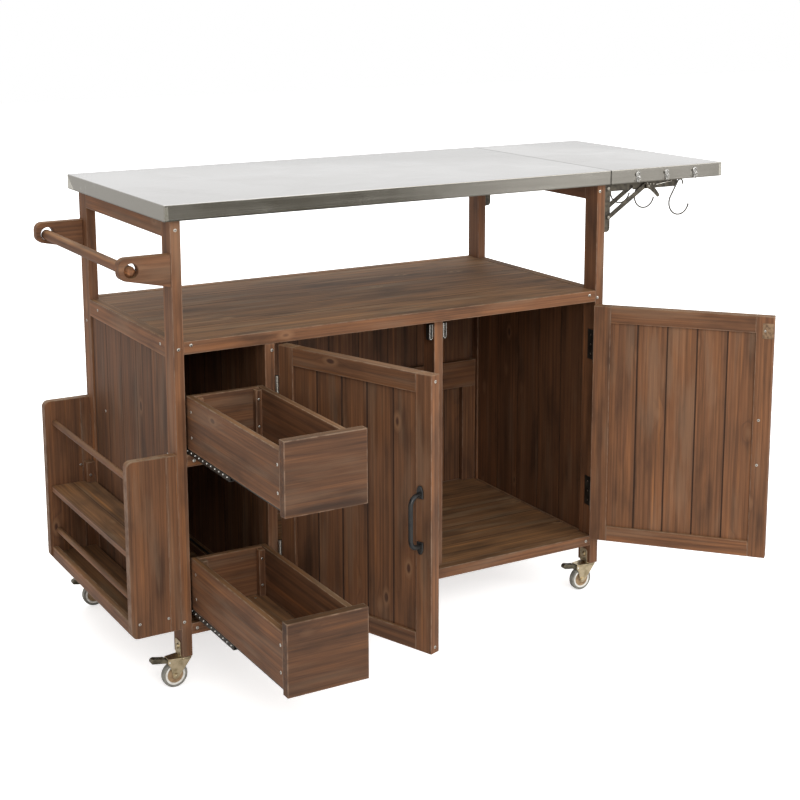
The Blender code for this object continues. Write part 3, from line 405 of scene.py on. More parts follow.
zinc = metal("golden_zinc", (0.6, 0.5, 0.33), (0.34, 0.27, 0.16), 0.28, scale=1.4)
screw_zinc = metal("screw_zinc", (0.56, 0.54, 0.49), (0.36, 0.33, 0.28), 0.32, scale=3.0)
pedal_black = metal("pedal_coat", (0.075, 0.066, 0.046), (0.2, 0.17, 0.115), 0.36, 0.7)
tread_grey = metal("grey_rubber", (0.16, 0.155, 0.135), (0.28, 0.27, 0.235), 0.62, 0.0, 2.0, 0.3)
ring_white = metal("white_ring", (0.8, 0.79, 0.75), (0.58, 0.55, 0.49), 0.42, 0.0, 2.0)
hub_bronze = metal("hub_plastic", (0.36, 0.24, 0.13), (0.22, 0.14, 0.07), 0.38, 0.25, 2.0)

POST_X, POST_Y = 0.4775, 0.229
FOOT = 0.064
WHEEL_R = 0.0252
AXLE_Z = 0.02528
TRAIL = 0.02  # how far the axle stands behind the kingpin
PEDAL_X, PEDAL_Z = -0.032, 0.0533
CORNERS = [
    (f"{end}_{side}", x, y)
    for side, x in (("left", -POST_X), ("right", POST_X))
    for end, y in (("front", -POST_Y), ("rear", POST_Y))
]

for tag, x, y in CORNERS:
    axle = Vector((x - TRAIL, y, AXLE_Z))

    # The wheel: a ribbed tread, a white ring pressed into each side and a spoked hub.
    bm = bmesh.new()
    half_tread = [(WHEEL_R, 0.0), (WHEEL_R - 0.0002, 0.0012), (WHEEL_R - 0.0007, 0.002)]
    half_tread += [(WHEEL_R - 0.0002, 0.0026), (WHEEL_R - 0.0004, 0.005)]
    half_tread += [(WHEEL_R - 0.0014, 0.0062), (0.0198, 0.0058)]
    turned(bm, half_tread[::-1] + [(u, -v) for u, v in half_tread[1:]], axle, steps=48)
    ring = [(0.0158, 0.0052), (0.0166, 0.0064), (0.0192, 0.0066), (0.02, 0.0056)]
    ring += [(0.0198, 0.004), (0.016, 0.004)]
    hub = [(0.0034, 0.005), (0.0046, 0.0069), (0.0068, 0.0069), (0.0086, 0.0052), (0.0136, 0.0046)]
    hub += [(0.0157, 0.0056), (0.016, 0.0048), (0.0146, 0.001), (0.0034, 0.001)]
    for way in (-1, 1):
        for slot, profile in ((1, ring), (2, hub)):
            turned(bm, [(u, way * v) for u, v in profile], axle, steps=48, slot=slot)
        for spoke in range(5):
            place = Matrix.Translation(axle) @ Matrix.Rotation(2 * math.pi * spoke / 5 + 0.3, 4, "Y")
            lo = (0.0072, way * 0.0036 - 0.0012, -0.0011)
            slab(bm, lo, (0.0152, way * 0.0046 + 0.0009, 0.0011), 0.0004, place, 2)
    dress(f"{tag}_wheel", bm, (tread_grey, ring_white, hub_bronze), f"{tag}_wheel", 40)

    # The fork: a pressed crown with a raised race, two tapering cheeks, the axle bolt and its nut.
    bm = bmesh.new()
    outline = arc((0, 0), 0.0163, -118, 118, 28) + [(-0.0355, 0.01), (-0.0355, -0.01)]
    plate(bm, outline, 0.0024, Matrix.Translation((x, y, 0.0595)), 0.0005)
    race = [(0.0062, 0.0582), (0.015, 0.0566), (0.015, 0.0548), (0.0118, 0.0538), (0.0062, 0.0538)]
    turned(bm, race, (x, y, 0), UP, 40)
    king = [(0.0, 0.0606), (0.0118, 0.0606), (0.0118, 0.0622), (0.007, 0.0637), (0.0, 0.0637)]
    turned(bm, king, (x, y, 0), UP)
    cheek = [(-0.0355, 0.0594), (-0.0355, 0.05), (-0.03, 0.044)]
    cheek += arc((-TRAIL, AXLE_Z), 0.0066, 196, 344, 12)
    cheek += [(0.003, 0.044), (0.0118, 0.055), (0.012, 0.0594)]
    for way in (-1, 1):
        plate(bm, cheek, 0.0019, upright(y + way * 0.009, x), 0.0005)
        plate(bm, circle(0.005, 6), 0.0024, upright(y + way * 0.011, axle.x, AXLE_Z))
    round_bar(bm, [axle - Vector((0, 0.0122, 0)), axle + Vector((0, 0.0122, 0))], 0.0025, 16)
    dress(f"{tag}_fork", bm, zinc, f"{tag}_fork")

    # The pedal: a thick pressed lever with ribs on a white pin, tilted up while the wheel is free.
    bm = bmesh.new()
    tilt = Matrix.Translation((x + PEDAL_X, y, PEDAL_Z)) @ Matrix.Rotation(math.radians(12), 4, "Y")
    profile = [(0.0028, -0.0028), (0.0028, 0.0028), (-0.005, 0.0034)]
    profile += arc((-0.013, 0.003), 0.0042, 60, 130, 6) + [(-0.019, 0.0046)]
    profile += arc((-0.0315, 0.001), 0.0052, 85, 255, 12) + [(-0.024, -0.0032)]
    plate(bm, profile, 0.0138, tilt @ FACING_FRONT, 0.0014)
    for rib in range(3):
        start = -0.021 - rib * 0.0044
        slab(bm, (start - 0.0014, -0.0056, 0.003), (start + 0.0006, 0.0056, 0.0062), 0.0004, tilt)
    round_bar(bm, [(x + PEDAL_X, y + out, PEDAL_Z) for out in (-0.01, 0.01)], 0.0017, 14, 1)
    pedal = f"{tag}_brake_pedal"
    publish(f"{tag}_pedal_dressed", bm, (pedal_black, ring_white), pedal, pedal)

    # The saddle: a flange up each side of the post's foot, with a bolt through it.
    bm = bmesh.new()
    flange = [(-0.0125, FOOT - 0.0012), (0.0125, FOOT - 0.0012)]
    flange += arc((0.0075, 0.088), 0.005, 0, 90, 5) + arc((-0.0075, 0.088), 0.005, 90, 180, 5)
    bolt = [(0.0, 0.0), (0.0052, 0.0), (0.005, 0.0018), (0.0036, 0.003), (0.0, 0.0034)]
    for way in (-1, 1):
        plate(bm, flange, 0.0014, Matrix.Translation((x + way * 0.011, y, 0)) @ FACING_SIDE)
        turned(bm, bolt, (x + way * 0.0115, y, 0.08), (way, 0, 0), 24)
    publish(f"{tag}_caster_plate", bm, zinc, "cabinet")

# Frame: the four posts, the post beside the drawers, the one behind the doors and the drawer rail.
# Fir boards with eased edges, stained dark brown. Each board has its own grain and its own tone.
timber, given, gives = group_of(
    "stained_fir",
    [("Grain", "NodeSocketVector", None), ("Tone", NUMBER, 0.5), ("Rim", NUMBER, 0.0)],
    [("Color", "NodeSocketColor"), ("Roughness", NUMBER), ("Height", NUMBER)],
)


def stretched(tree, vector, by):
    return node(tree, "ShaderNodeVectorMath", {0: vector, 1: by}, operation="MULTIPLY").outputs[0]


def ramp(tree, value, *stops):
    made = node(tree, "ShaderNodeValToRGB", {"Fac": value})
    elements = made.color_ramp.elements
    while len(elements) < len(stops):
        elements.new(0.5)
    for element, (position, *colour) in zip(elements, stops):
        element.position = position
        element.color = (*colour, 1.0)
    return made.outputs["Color"]


def drawn(stretch, detail):
    """Noise drawn out along the boards' grain."""
    return noise(timber, stretched(timber, grain, stretch), 1.0, detail)


def product(first, second):
    return worked(timber, "MULTIPLY", first, second)


grain = given["Grain"]
# Knots: sparse cells, each with a dark heart and a light ring, whose distance bends the growth rings.
cells = {"Vector": stretched(timber, grain, (8.0, 17.0, 9.0)), "Scale": 1.0, "Randomness": 1.0}
knots = node(timber, "ShaderNodeTexVoronoi", cells).outputs
lot = node(timber, "ShaderNodeSeparateColor", {"Color": knots["Color"]}).outputs["Red"]
has_knot = worked(timber, "GREATER_THAN", lot, 0.6)
knot_pull = product(between(timber, knots["Distance"], 0.0, 0.4, 1.0, 0.0, True), has_knot)
knot_ring = product(between(timber, knots["Distance"], 0.1, 0.19, 1.0, 0.0), has_knot)
knot_heart = product(between(timber, knots["Distance"], 0.055, 0.095, 1.0, 0.0), has_knot)
# Growth rings: distance from a pith line beside the board, bent by slow noise and by the knots.
drift = drawn((0.9, 5.0, 5.0), 2.0)
across = stretched(timber, grain, (0.0, 1.0, 1.0))
pith = node(timber, "ShaderNodeVectorMath", {0: across}, operation="LENGTH").outputs["Value"]
bent = worked(timber, "MULTIPLY_ADD", drift, 0.045, pith)
rings = product(worked(timber, "MULTIPLY_ADD", knot_pull, 0.01, bent), 175.0)
year = worked(timber, "FLOOR", rings)
year_tone = node(timber, "ShaderNodeTexWhiteNoise", {"W": year}, noise_dimensions="1D").outputs["Value"]
greys = ((0.0, 0.0), (0.4, 0.1), (0.8, 0.8), (0.92, 1.0), (1.0, 0.0))
latewood = ramp(timber, worked(timber, "FRACT", rings), *((at, *[grey] * 3) for at, grey in greys))
lined_by = product(latewood, between(timber, year_tone, 0.0, 1.0, 0.06, 0.42))
# Fibres, straight lines, stain blotches and warm streaks, all drawn out along the grain.
fibre = drawn((12.0, 560.0, 560.0), 3.0)
straight = drawn((1.6, 210.0, 210.0), 4.0)
streak = drawn((2.8, 115.0, 105.0), 4.0)
blotch = drawn((7.0, 24.0, 24.0), 6.0)
browns = ((0.3, 0.112, 0.05, 0.0235), (0.47, 0.143, 0.0625, 0.028))
reds = ((0.62, 0.163, 0.07, 0.03), (0.74, 0.24, 0.097, 0.034))
stain = ramp(timber, blotch, (0.3, 0.58, 0.6, 0.64), (0.47, 1.0, 1.0, 1.0), (0.7, 1.24, 1.2, 1.14))
stained = mixed(timber, 1.0, ramp(timber, streak, *browns, *reds), stain, "MULTIPLY")
lined = mixed(timber, lined_by, stained, (0.066, 0.03, 0.018))
fibre_lines = between(timber, fibre, 0.3, 0.72, 0.82, 1.18)
fine_lines = product(fibre_lines, between(timber, straight, 0.32, 0.68, 0.76, 1.24))
pored = scaled_by(timber, lined, fine_lines)
warm = mixed(timber, product(knot_ring, 0.75), pored, (0.235, 0.118, 0.058))
knotted = mixed(timber, knot_heart, warm, (0.062, 0.026, 0.014))
# Weather has left pale smears along the boards, in patches.
smear = between(timber, drawn((4.0, 30.0, 30.0), 6.0), 0.52, 0.68, 0.0, 0.34, True)
smeared = mixed(timber, smear, knotted, (0.215, 0.134, 0.082))
toned = scaled_by(timber, smeared, between(timber, given["Tone"], 0.0, 1.0, 0.4, 1.6))
# Along the eased edges the colour is lighter, in patches: the stain is thinner there from wear, and a
# painted highlight stands for light catching the eased edges.
patched = between(timber, noise(timber, grain, 55.0, 3.0), 0.4, 0.6, 0.25, 1.0)
rim_wear_and_highlight = product(between(timber, given["Rim"], 0.3, 1.0, 0.0, 0.55), patched)
worn = mixed(timber, rim_wear_and_highlight, toned, (0.255, 0.165, 0.11))
# In the grooves between boards, where the rim value is below zero, the colour is darkened almost to black:
# painted shade in the grooves.
grooved = between(timber, given["Rim"], -1.0, -0.3, 0.8, 0.0)
looks = {
    "Color": mixed(timber, grooved, worn, (0.02, 0.01, 0.006)),
    "Roughness": between(timber, fibre, 0.0, 1.0, 0.58, 0.72),
    "Height": worked(timber, "MULTIPLY_ADD", fibre, 0.6, lined_by),
}
feed(timber, gives, looks)


def timber_material(name, painted_sheen, light):
    """Stained fir read from the boards' own grain coordinates, with a painted sheen on upward faces."""
    made, tree, surface = new_material(name)
    wood = node(tree, "ShaderNodeGroup", node_tree=timber)
    for layer, out in (("grain", "Vector"), ("tone", "Fac"), ("rim", "Fac")):
        read = node(tree, "ShaderNodeAttribute", attribute_name=layer)
        feed(tree, wood, {layer.title(): read.outputs[out]})
    split = node(tree, "ShaderNodeSeparateXYZ", {0: coordinate(tree, "Normal")})
    # Upward faces are painted lighter and greyer, a painted sheen of the bright surround.
    sheen_mask = between(tree, split.outputs["Z"], 0.4, 0.9, 0.0, painted_sheen)
    sheen_tint = mixed(tree, 1.0, wood.outputs["Color"], (1.36, 1.66, 1.66), "MULTIPLY")
    inputs = {
        "Base Color": scaled_by(tree, mixed(tree, sheen_mask, wood.outputs["Color"], sheen_tint), light),
        "Roughness": wood.outputs["Roughness"],
        "Specular IOR Level": 0.26,
        "Normal": relief(tree, wood.outputs["Height"], 0.22, 0.0005),
    }
    feed(tree, surface, inputs)
    return made


# All fir carries part of the painted sheen. The deck's copy carries all of it, and is painted 12 % brighter
# as painted light, where the worktop keeps light off the deck.
fir = timber_material("stained_fir", 0.75, 1.0)
fir_deck = timber_material("sheen_lit_fir", 1.0, 1.12)


def timber_mesh():
    """An empty mesh with the layers that the timber reads."""
    bm = bmesh.new()
    bm.verts.layers.float_vector.new("grain")
    bm.verts.layers.float.new("tone")
    bm.verts.layers.float.new("rim")
    return bm


def timber_piece(part, bm, body="cabinet", material=fir):
    dress(part, bm, material, body)


def grain_on(bm, verts, along, wide, middle, rims=(), tone=0.5, rim_wear_and_highlight=1.0):
    """Writes a board's own coordinates on its points: along the grain, across it, through it."""
    layers = bm.verts.layers
    axes = (along, wide, 3 - along - wide)
    start = (rng.uniform(0, 40), rng.uniform(-0.07, 0.07), rng.uniform(0.03, 0.12))
    tone += rng.uniform(-0.08, 0.08)
    for vert in verts:
        offset = vert.co - middle
        vert[layers.float_vector["grain"]] = [offset[axis] + first for axis, first in zip(axes, start)]
        vert[layers.float["tone"]] = tone
        # A positive rim value lightens eased edges, for wear and painted highlight. A negative one paints
        # shade into grooves.
        vert[layers.float["rim"]] = rim_wear_and_highlight if vert in rims else 0.0


EDGE_BAND = 0.0022  # how far an edge's band of wear and painted highlight reaches into a face


def inset(bm, rims, faces, ease):
    """Sets an edge line inside faces, and gives all the points."""
    made = bmesh.ops.inset_individual(bm, faces=faces, thickness=ease, use_even_offset=True)["faces"]
    return rims.union(*(face.verts for face in list(made) + faces if face.is_valid))


def board(bm, lo, hi, along, bevel=0.0005, place=Matrix(), tone=0.5, ease=EDGE_BAND, rim_wear_and_highlight=1.0):
    """One board between two corners, its grain along axis 0, 1 or 2, its edges eased."""
    size = Vector(hi) - Vector(lo)
    rims = eased_box(bm, lo, hi, bevel)
    faces = faces_on(rims)
    for face in faces:
        face.normal_update()
    large = [face for face in faces if max(abs(part) for part in face.normal) > 0.999]
    fresh = inset(bm, rims, large, min(ease, 0.3 * min(size)))
    wide = max((axis for axis in range(3) if axis != along), key=lambda axis: size[axis])
    grain_on(bm, fresh, along, wide, (Vector(lo) + Vector(hi)) / 2, rims, tone, rim_wear_and_highlight)
    bmesh.ops.transform(bm, matrix=place, verts=list(fresh))


def boards(
    bm, lo, hi, across, along, count, place=Matrix(), gap=0.0002, bevel=0.0004, tone=0.5, ease=0.0014
):
    """Boards side by side between two corners, eased where they meet."""
    step = (hi[across] - lo[across]) / count
    for number in range(count):
        low, high = Vector(lo), Vector(hi)
        low[across] = lo[across] + number * step + gap / 2
        high[across] = lo[across] + (number + 1) * step - gap / 2
        # A rim value of -1 paints shade into the grooves where the boards meet.
        board(bm, low, high, along, bevel, place, tone, ease, -1.0)


def shaped_board(bm, loop, thick, place, along, wide, bevel, tone):
    """A board cut to an outline in its own XY plane, with grain along its own X or Y."""
    rims = eased_prism(bm, loop, thick, bevel, 2)
    large = sorted(faces_on(rims), key=lambda face: -face.calc_area())[:2]
    fresh = inset(bm, rims, large, EDGE_BAND)
    middle = sum((vert.co for vert in fresh), Vector()) / len(fresh)
    grain_on(bm, fresh, along, wide, middle, rims, tone)
    bmesh.ops.transform(bm, matrix=place, verts=list(fresh))


HALF_L, HALF_D = 0.4875, 0.25  # to the outer faces of the posts
IN_X, IN_Y = 0.4672, 0.2077  # the ends of what stands between the posts
RAIL_Y = 0.23  # the inner faces of the front and back rails
FLOOR_TOP, DECK_TOP = 0.128, 0.674

for tag, x, y in CORNERS:
    bm = timber_mesh()
    board(bm, (x - 0.01, y - 0.021, FOOT), (x + 0.01, y + 0.021, 0.8997), 2, 0.0006, tone=0.58)
    timber_piece(f"{tag}_post", bm)

bm = timber_mesh()
board(bm, (-0.3045, -HALF_D, 0.1283), (-0.2845, -0.208, 0.6497), 2, 0.0006)
board(bm, (-IN_X, -0.2497, 0.4357), (-0.3048, -RAIL_Y, 0.4587), 0, 0.0008)
timber_piece("divider_post", bm)
bm = timber_mesh()
board(bm, (0.0815, -0.2276, 0.1263), (0.1015, -0.1857, 0.6597), 2, 0.0006)
timber_piece("mid_post", bm)

# Floor, panels and open shelf.
# Rails between the posts, and thin boards let into them that meet at V joints.
# The panels' boards stand upright in the frame. Battens for the drawers are fixed across two of them.
for name, top, rail, side_rail, material in (
    ("floor", FLOOR_TOP, 0.022, 0.022, fir),
    ("deck", DECK_TOP, 0.024, 0.034, fir_deck),
):
    bm = timber_mesh()
    for low, high in ((-HALF_D, -RAIL_Y), (RAIL_Y, HALF_D)):
        board(bm, (-IN_X, low, top - rail), (IN_X, high, top), 0)
    for low, high in ((-HALF_L, -0.4675), (0.4675, HALF_L)):
        board(bm, (low, -IN_Y, top - side_rail), (high, IN_Y, top), 1)
    boards(bm, (-0.4669, -0.2299, top - 0.014), (0.4669, 0.2299, top - 0.0007), 1, 0, 5)
    timber_piece(name, bm, material=material)

BAYS = (("upper", 0.459), ("lower", 0.144))  # the drawers, and the underside of each front


def battens(bm, low, high):
    """The battens that carry the drawer slides, on one side of each bay."""
    for name, bottom in BAYS:
        board(bm, (low, -0.2074, bottom - 0.015), (high, 0.2074, bottom - 0.0003), 1)


for name, x in (("left_side_panel", -POST_X), ("right_side_panel", POST_X)):
    bm = timber_mesh()
    # The side panels' boards are toned darker, as painted shade on the side faces.
    boards(bm, (x - 0.006, -IN_Y, 0.1283), (x + 0.006, IN_Y, 0.6397), 1, 2, 5, tone=0.28)
    if x < 0:
        battens(bm, -0.4715, -0.4535)
    timber_piece(name, bm)

bm = timber_mesh()
boards(bm, (-0.3005, -IN_Y, 0.1263), (-0.2885, 0.2297, 0.6597), 1, 2, 5, tone=0.38)
battens(bm, -0.3185, -0.3)
timber_piece("divider_panel", bm)

bm = timber_mesh()
# The back panel is toned darker, as painted shade inside the cabinet.
boards(bm, (-IN_X, RAIL_Y, 0.1283), (IN_X, 0.242, 0.6497), 0, 2, 12, tone=0.3)
board(bm, (-0.2842, 0.215, 0.362), (0.4669, 0.2304, 0.426), 0, tone=0.38)
for low in (-0.2839, 0.4306):
    board(bm, (low, 0.2154, 0.1286), (low + 0.036, 0.2304, 0.3617), 2, tone=0.38)
timber_piece("back_panel", bm)

# Drawers.
# A box of thin boards with corner blocks behind a thicker front, and telescopic slides below its
# sides. The boards are screwed together, and each slide rides on a batten.
black_steel = metal("blackened_steel", (0.016, 0.015, 0.013), (0.045, 0.04, 0.032), 0.42, 0.5, 1.2)
bright_steel = metal("bright_steel", (0.62, 0.61, 0.58), (0.42, 0.4, 0.37), 0.24, 1.0, 3.0)
# The cross recess is a dark slab laid on the screw head: painted shade in the recess.
recess = metal("screw_recess", (0.06, 0.055, 0.05), (0.03, 0.028, 0.025), 0.6, 0.6, 3.0)
SCREW = (screw_zinc, recess)
LEFT, RIGHT = -0.4635, -0.3085
PULLED = -0.655  # the face of a drawer's front, pulled out


def screw_head(bm, at, out, radius=0.003, slot=0):
    """A low domed head with a cross recess, standing on a face that looks along out."""
    high = 0.0007
    dome = [(0.0, 0.0), (radius, 0.0), (radius * 0.93, high * 0.55), (radius * 0.62, high), (0.0, high)]
    turned(bm, dome, at, out, 24, slot)
    angle = rng.uniform(0, 1.5)
    long, short = radius * 0.55, radius * 0.11
    # The cross is given the dark recess colour, as painted shade in the recess.
    for quarter in (0, math.pi / 2):
        spin = facing(at, out) @ Matrix.Rotation(angle + quarter, 4, "Z")
        slab(bm, (-long, -short, high - 0.0002), (long, short, high + 0.00012), 0.00005, spin, slot + 1)


def ball(bm, centre, radius):
    made = bmesh.ops.create_icosphere(bm, subdivisions=2, radius=radius)["verts"]
    bmesh.ops.translate(bm, vec=centre, verts=made)


for name, bottom in BAYS:
    low, high = bottom + 0.0107, bottom + 0.0107 + 0.101  # of the box behind the front
    near, far = LEFT + 0.0122, RIGHT - 0.0122  # between its sides
    back = PULLED + 0.3998
    bm = timber_mesh()
    # The front's low tone is painted shade, because the key lamp lights the pulled-out fronts more than the
    # rest.
    board(bm, (LEFT, PULLED, bottom), (RIGHT, PULLED + 0.018, bottom + 0.131), 0, 0.0008, tone=0.08)
    for x0, x1 in ((LEFT + 0.0003, LEFT + 0.012), (RIGHT - 0.012, RIGHT - 0.0003)):
        board(bm, (x0, PULLED + 0.0182, low), (x1, PULLED + 0.412, high), 1, 0.0008, tone=0.4)
    board(bm, (near, PULLED + 0.4, low), (far, PULLED + 0.4117, high), 0, 0.001)
    board(bm, (near, PULLED + 0.0182, low), (far, PULLED + 0.03, high - 0.006), 0, 0.001)
    for x in (near, far - 0.013):
        board(bm, (x, PULLED + 0.3868, low + 0.0062), (x + 0.013, back, high - 0.002), 2, 0.001)
    boards(bm, (near, PULLED + 0.0302, low), (far, back, low + 0.006), 0, 1, 2)
    timber_piece(f"{name}_drawer", bm, f"{name}_drawer")

    bm = bmesh.new()
    for y in (PULLED + 0.026, PULLED + 0.39):
        for z in (low + 0.026, low + 0.075):
            screw_head(bm, (LEFT + 0.0003, y, z), (-1, 0, 0))
            screw_head(bm, (RIGHT - 0.0003, y, z), (1, 0, 0))
    for x in (LEFT + 0.0187, RIGHT - 0.0187):
        for z in (low + 0.028, high - 0.02):
            screw_head(bm, (x, PULLED + 0.3868, z), (0, -1, 0), 0.0026)
    for x in (LEFT + 0.035, RIGHT - 0.035):
        screw_head(bm, (x, PULLED + 0.385, low + 0.006), UP, 0.0026)
    publish(f"{name}_drawer_screws", bm, SCREW, f"{name}_drawer")

    for hand, x in (("left", LEFT + 0.005), ("right", RIGHT - 0.005)):
        slide = f"{name}_{hand}_slide"
        # Middle member: a channel with rolled lips, carrying balls in a retainer along its top.
        bm = bmesh.new()
        middle = Vector((x, -0.2342, bottom + 0.0052))
        half = [(0.0048, -0.005), (0.0048, 0.0046), (0.0038, 0.005), (0.003, 0.0044)]
        half += [(0.0034, 0.0036), (0.0034, -0.0036)]
        profile = half + [(-u, v) for u, v in reversed(half)]
        plate(bm, profile, 0.4, Matrix.Translation(middle) @ FACING_FRONT, 0.0003)
        dress(slide, bm, black_steel, slide)
        bm = bmesh.new()
        for way in (-1, 1):
            for number in range(18):
                ball(bm, middle + Vector((way * 0.0048, number * 0.018 - 0.19, 0.0012)), 0.0018)
        publish(f"{slide}_balls", bm, bright_steel, slide)
        # Fixed member on the batten and drawer member under the side.
        for kind, body, y0, y1, z0, z1 in (
            ("fixed", "cabinet", -0.2316, 0.168, 0.0018, 0.003),
            ("moving", f"{name}_drawer", PULLED + 0.0184, PULLED + 0.41, 0.0072, 0.0105),
        ):
            bm = bmesh.new()
            slab(bm, (x - 0.003, y0, bottom + z0), (x + 0.003, y1, bottom + z1), 0.0002)
            publish(f"{slide}_{kind}", bm, black_steel, body)

# Doors.
# Stiles and rails round five tongued boards, grooved on both faces, hung on two hinges each.
DOOR_W, DOOR_LOW, DOOR_HIGH = 0.3715, 0.131, 0.647
DOOR_NEAR = 0.0015
DOOR_FAR = DOOR_NEAR + DOOR_W
FACE, DOOR_BACK = 0.004, 0.026
PULL_X, PULL_Z = DOOR_FAR - 0.024, DOOR_LOW + 0.249
HINGE_Y = -0.254
# Each door's name, the way its hinge faces, the hinge's x, its angle at rest and its boards' tone.
DOORS = (("left", 1, -0.283, -70.2, 0.34), ("right", -1, 0.466, 131.5, 0.54))
HUNG = {}
pull_black = metal("pull_coat", (0.009, 0.009, 0.009), (0.022, 0.021, 0.019), 0.36, 0.3, 1.2)

for side, way, axis_x, degrees, tone in DOORS:
    # From a door's own coordinates, closed and hinged at its left, to the cart's.
    swing = Matrix.Rotation(math.radians(degrees), 4, "Z") @ Matrix.Diagonal((way, 1, 1, 1))
    place = Matrix.Translation((axis_x, HINGE_Y, 0)) @ swing
    HUNG[side] = place
    bm = timber_mesh()
    for low, high in ((DOOR_NEAR, DOOR_NEAR + 0.036), (DOOR_FAR - 0.036, DOOR_FAR)):
        board(bm, (low, FACE, DOOR_LOW), (high, DOOR_BACK, DOOR_HIGH), 2, 0.0007, place, tone)
    low_x, high_x = DOOR_NEAR + 0.0361, DOOR_FAR - 0.0361
    for low, high in ((DOOR_LOW, DOOR_LOW + 0.033), (DOOR_HIGH - 0.035, DOOR_HIGH)):
        corners = (low_x, FACE + 0.0001, low), (high_x, DOOR_BACK - 0.0001, high)
        board(bm, *corners, 0, 0.0007, place, tone)
    lo = (DOOR_NEAR + 0.031, FACE + 0.006, DOOR_LOW + 0.028)
    hi = (DOOR_FAR - 0.031, FACE + 0.016, DOOR_HIGH - 0.03)
    boards(bm, lo, hi, 0, 2, 5, place, 0.0004, 0.001, tone, 0.002)
    timber_piece(f"{side}_door", bm, f"{side}_door")

    # Pull: a bowed round bar on two leaf-shaped feet, screwed through from the inside.
    bm = bmesh.new()
    bow = arc((-0.0312, -0.0112), 0.0168, 180, 270, 6) + arc((0.0312, -0.0112), 0.0168, 270, 360, 6)
    path = [(-0.048, -0.0037)] + bow + [(0.048, -0.0037)]
    path = [place @ Vector((PULL_X, FACE - 0.0003 + v, PULL_Z + u)) for u, v in path]
    round_bar(bm, path, 0.0045, 16)
    leaf = [(-0.0072, -0.0075), (0.0072, -0.0075), (0.0072, 0.006)]
    leaf += arc((0.0, 0.011), 0.005, 20, 160, 6) + [(-0.0072, 0.006)]
    for end, turn in ((-1, math.pi), (1, 0)):
        spot = place @ upright(FACE - 0.0023, PULL_X, PULL_Z + end * 0.048)
        plate(bm, leaf, 0.0044, spot @ Matrix.Rotation(turn, 4, "Z"), 0.0012)
    pull = f"{side}_door_pull_dressed"
    publish(pull, bm, pull_black, f"{side}_door", f"{side}_door_handle")

    bm = bmesh.new()
    turn = place.to_3x3()
    for z in (PULL_Z - 0.048, PULL_Z + 0.048):
        screw_head(bm, place @ Vector((PULL_X, DOOR_BACK, z)), turn @ Vector((0, 1, 0)))
    for z in (DOOR_HIGH - 0.012, DOOR_LOW + 0.011):
        screw_head(bm, place @ Vector((DOOR_FAR, FACE + 0.011, z)), turn @ Vector((1, 0, 0)))
    publish(f"{side}_door_screws", bm, SCREW, f"{side}_door")

# Hinges: a leaf on the post, a leaf on the door's edge, a knuckle of five rings and a pin.
# Black sheet, with three screws in each post. The left door's knuckles are bright zinc, as a painted
# reflection.
KNUCKLES = ((-0.0325, -0.0205), (-0.02, -0.007), (-0.0065, 0.0065), (0.007, 0.02), (0.0205, 0.0325))
PIN = [(0.0, -0.0332), (0.0026, -0.033), (0.0014, -0.0322)]
PIN += [(u, -v) for u, v in reversed(PIN)]
LEAF = 0.0325  # half the height of a leaf

for side, way, axis_x, degrees, tone in DOORS:
    for level, z in (("upper", 0.555), ("lower", 0.228)):
        hinge = f"{side}_door_{level}_hinge"
        axis = (axis_x, HINGE_Y, z)
        bm = bmesh.new()
        for low, high in KNUCKLES:
            sleeve = [(0.0014, low), (0.0033, low), (0.0035, low + 0.0002)]
            sleeve += [(0.0035, high - 0.0002), (0.0033, high), (0.0014, high)]
            # The left door's knuckles take bright zinc as a painted reflection; the right door's stay
            # black.
            turned(bm, sleeve, axis, UP, 24, 1 if side == "left" else 0)
        turned(bm, PIN, axis, UP, 20)
        x0, x1 = sorted((axis_x - way * 0.0012, axis_x))
        slab(bm, (x0, -0.2525, z - LEAF), (x1, -0.228, z + LEAF), 0.0002)
        dress(hinge, bm, (black_steel, screw_zinc), "cabinet")
        bm = bmesh.new()
        lo, hi = (0.0004, FACE - 0.0015, z - LEAF), (0.0013, FACE + 0.0205, z + LEAF)
        slab(bm, lo, hi, 0.0002, HUNG[side])
        publish(f"{hinge}_leaf", bm, black_steel, f"{side}_door")
        bm = bmesh.new()
        for dz in (-0.021, 0.0, 0.021):
            screw_head(bm, (axis_x - way * 0.0006, -0.2385, z + dz), (way, 0, 0), 0.0026)
        publish(f"{hinge}_screws", bm, SCREW, "cabinet")

# Catches: a brown strike plate let flush into the right door, and two sprung wire catches beside
# the post that the doors close on.
brown_plate = metal("brown_plate", (0.26, 0.165, 0.095), (0.13, 0.08, 0.048), 0.4, 0.7, 3.0)
place = HUNG["right"]
bm = bmesh.new()
lo = (DOOR_FAR - 0.023, DOOR_BACK - 0.0008, DOOR_HIGH - 0.046)
slab(bm, lo, (DOOR_FAR - 0.0008, DOOR_BACK + 0.0002, DOOR_HIGH - 0.014), 0.0002, place)
publish("right_door_strike", bm, brown_plate, "right_door")
bm = bmesh.new()
spot = place @ Vector((DOOR_FAR - 0.018, DOOR_BACK - 0.0003, DOOR_HIGH - 0.03))
screw_head(bm, spot, place.to_3x3() @ Vector((0, 1, 0)), 0.0028)
publish("right_door_strike_screw", bm, SCREW, "right_door")
bm = bmesh.new()
for low, high in ((0.069, 0.0813), (0.1017, 0.114)):
    slab(bm, (low + 0.0015, -0.2255, 0.608), (high - 0.0015, -0.2125, 0.64), 0.0008)
    left, right = low + 0.003, high - 0.003
    u_bend = [(left, 0.64), (left, 0.612), ((low + high) / 2, 0.6085), (right, 0.612), (right, 0.64)]
    round_bar(bm, [(x, -0.2255, z) for x, z in u_bend], 0.001, 12, 1)
publish("mid_post_catches", bm, (black_steel, bright_steel), "cabinet")

# Side rack.
# Two end panels glued up from two boards each, a shelf, a tray with a lip and two dowels.
# The panels are screwed to the left posts, and a small cleat stands in each inner corner.
INNER = -HALF_L - 0.0003
RACK_LOW, RACK_HIGH = 0.12, 0.462
RACK_JOINT = -0.5085

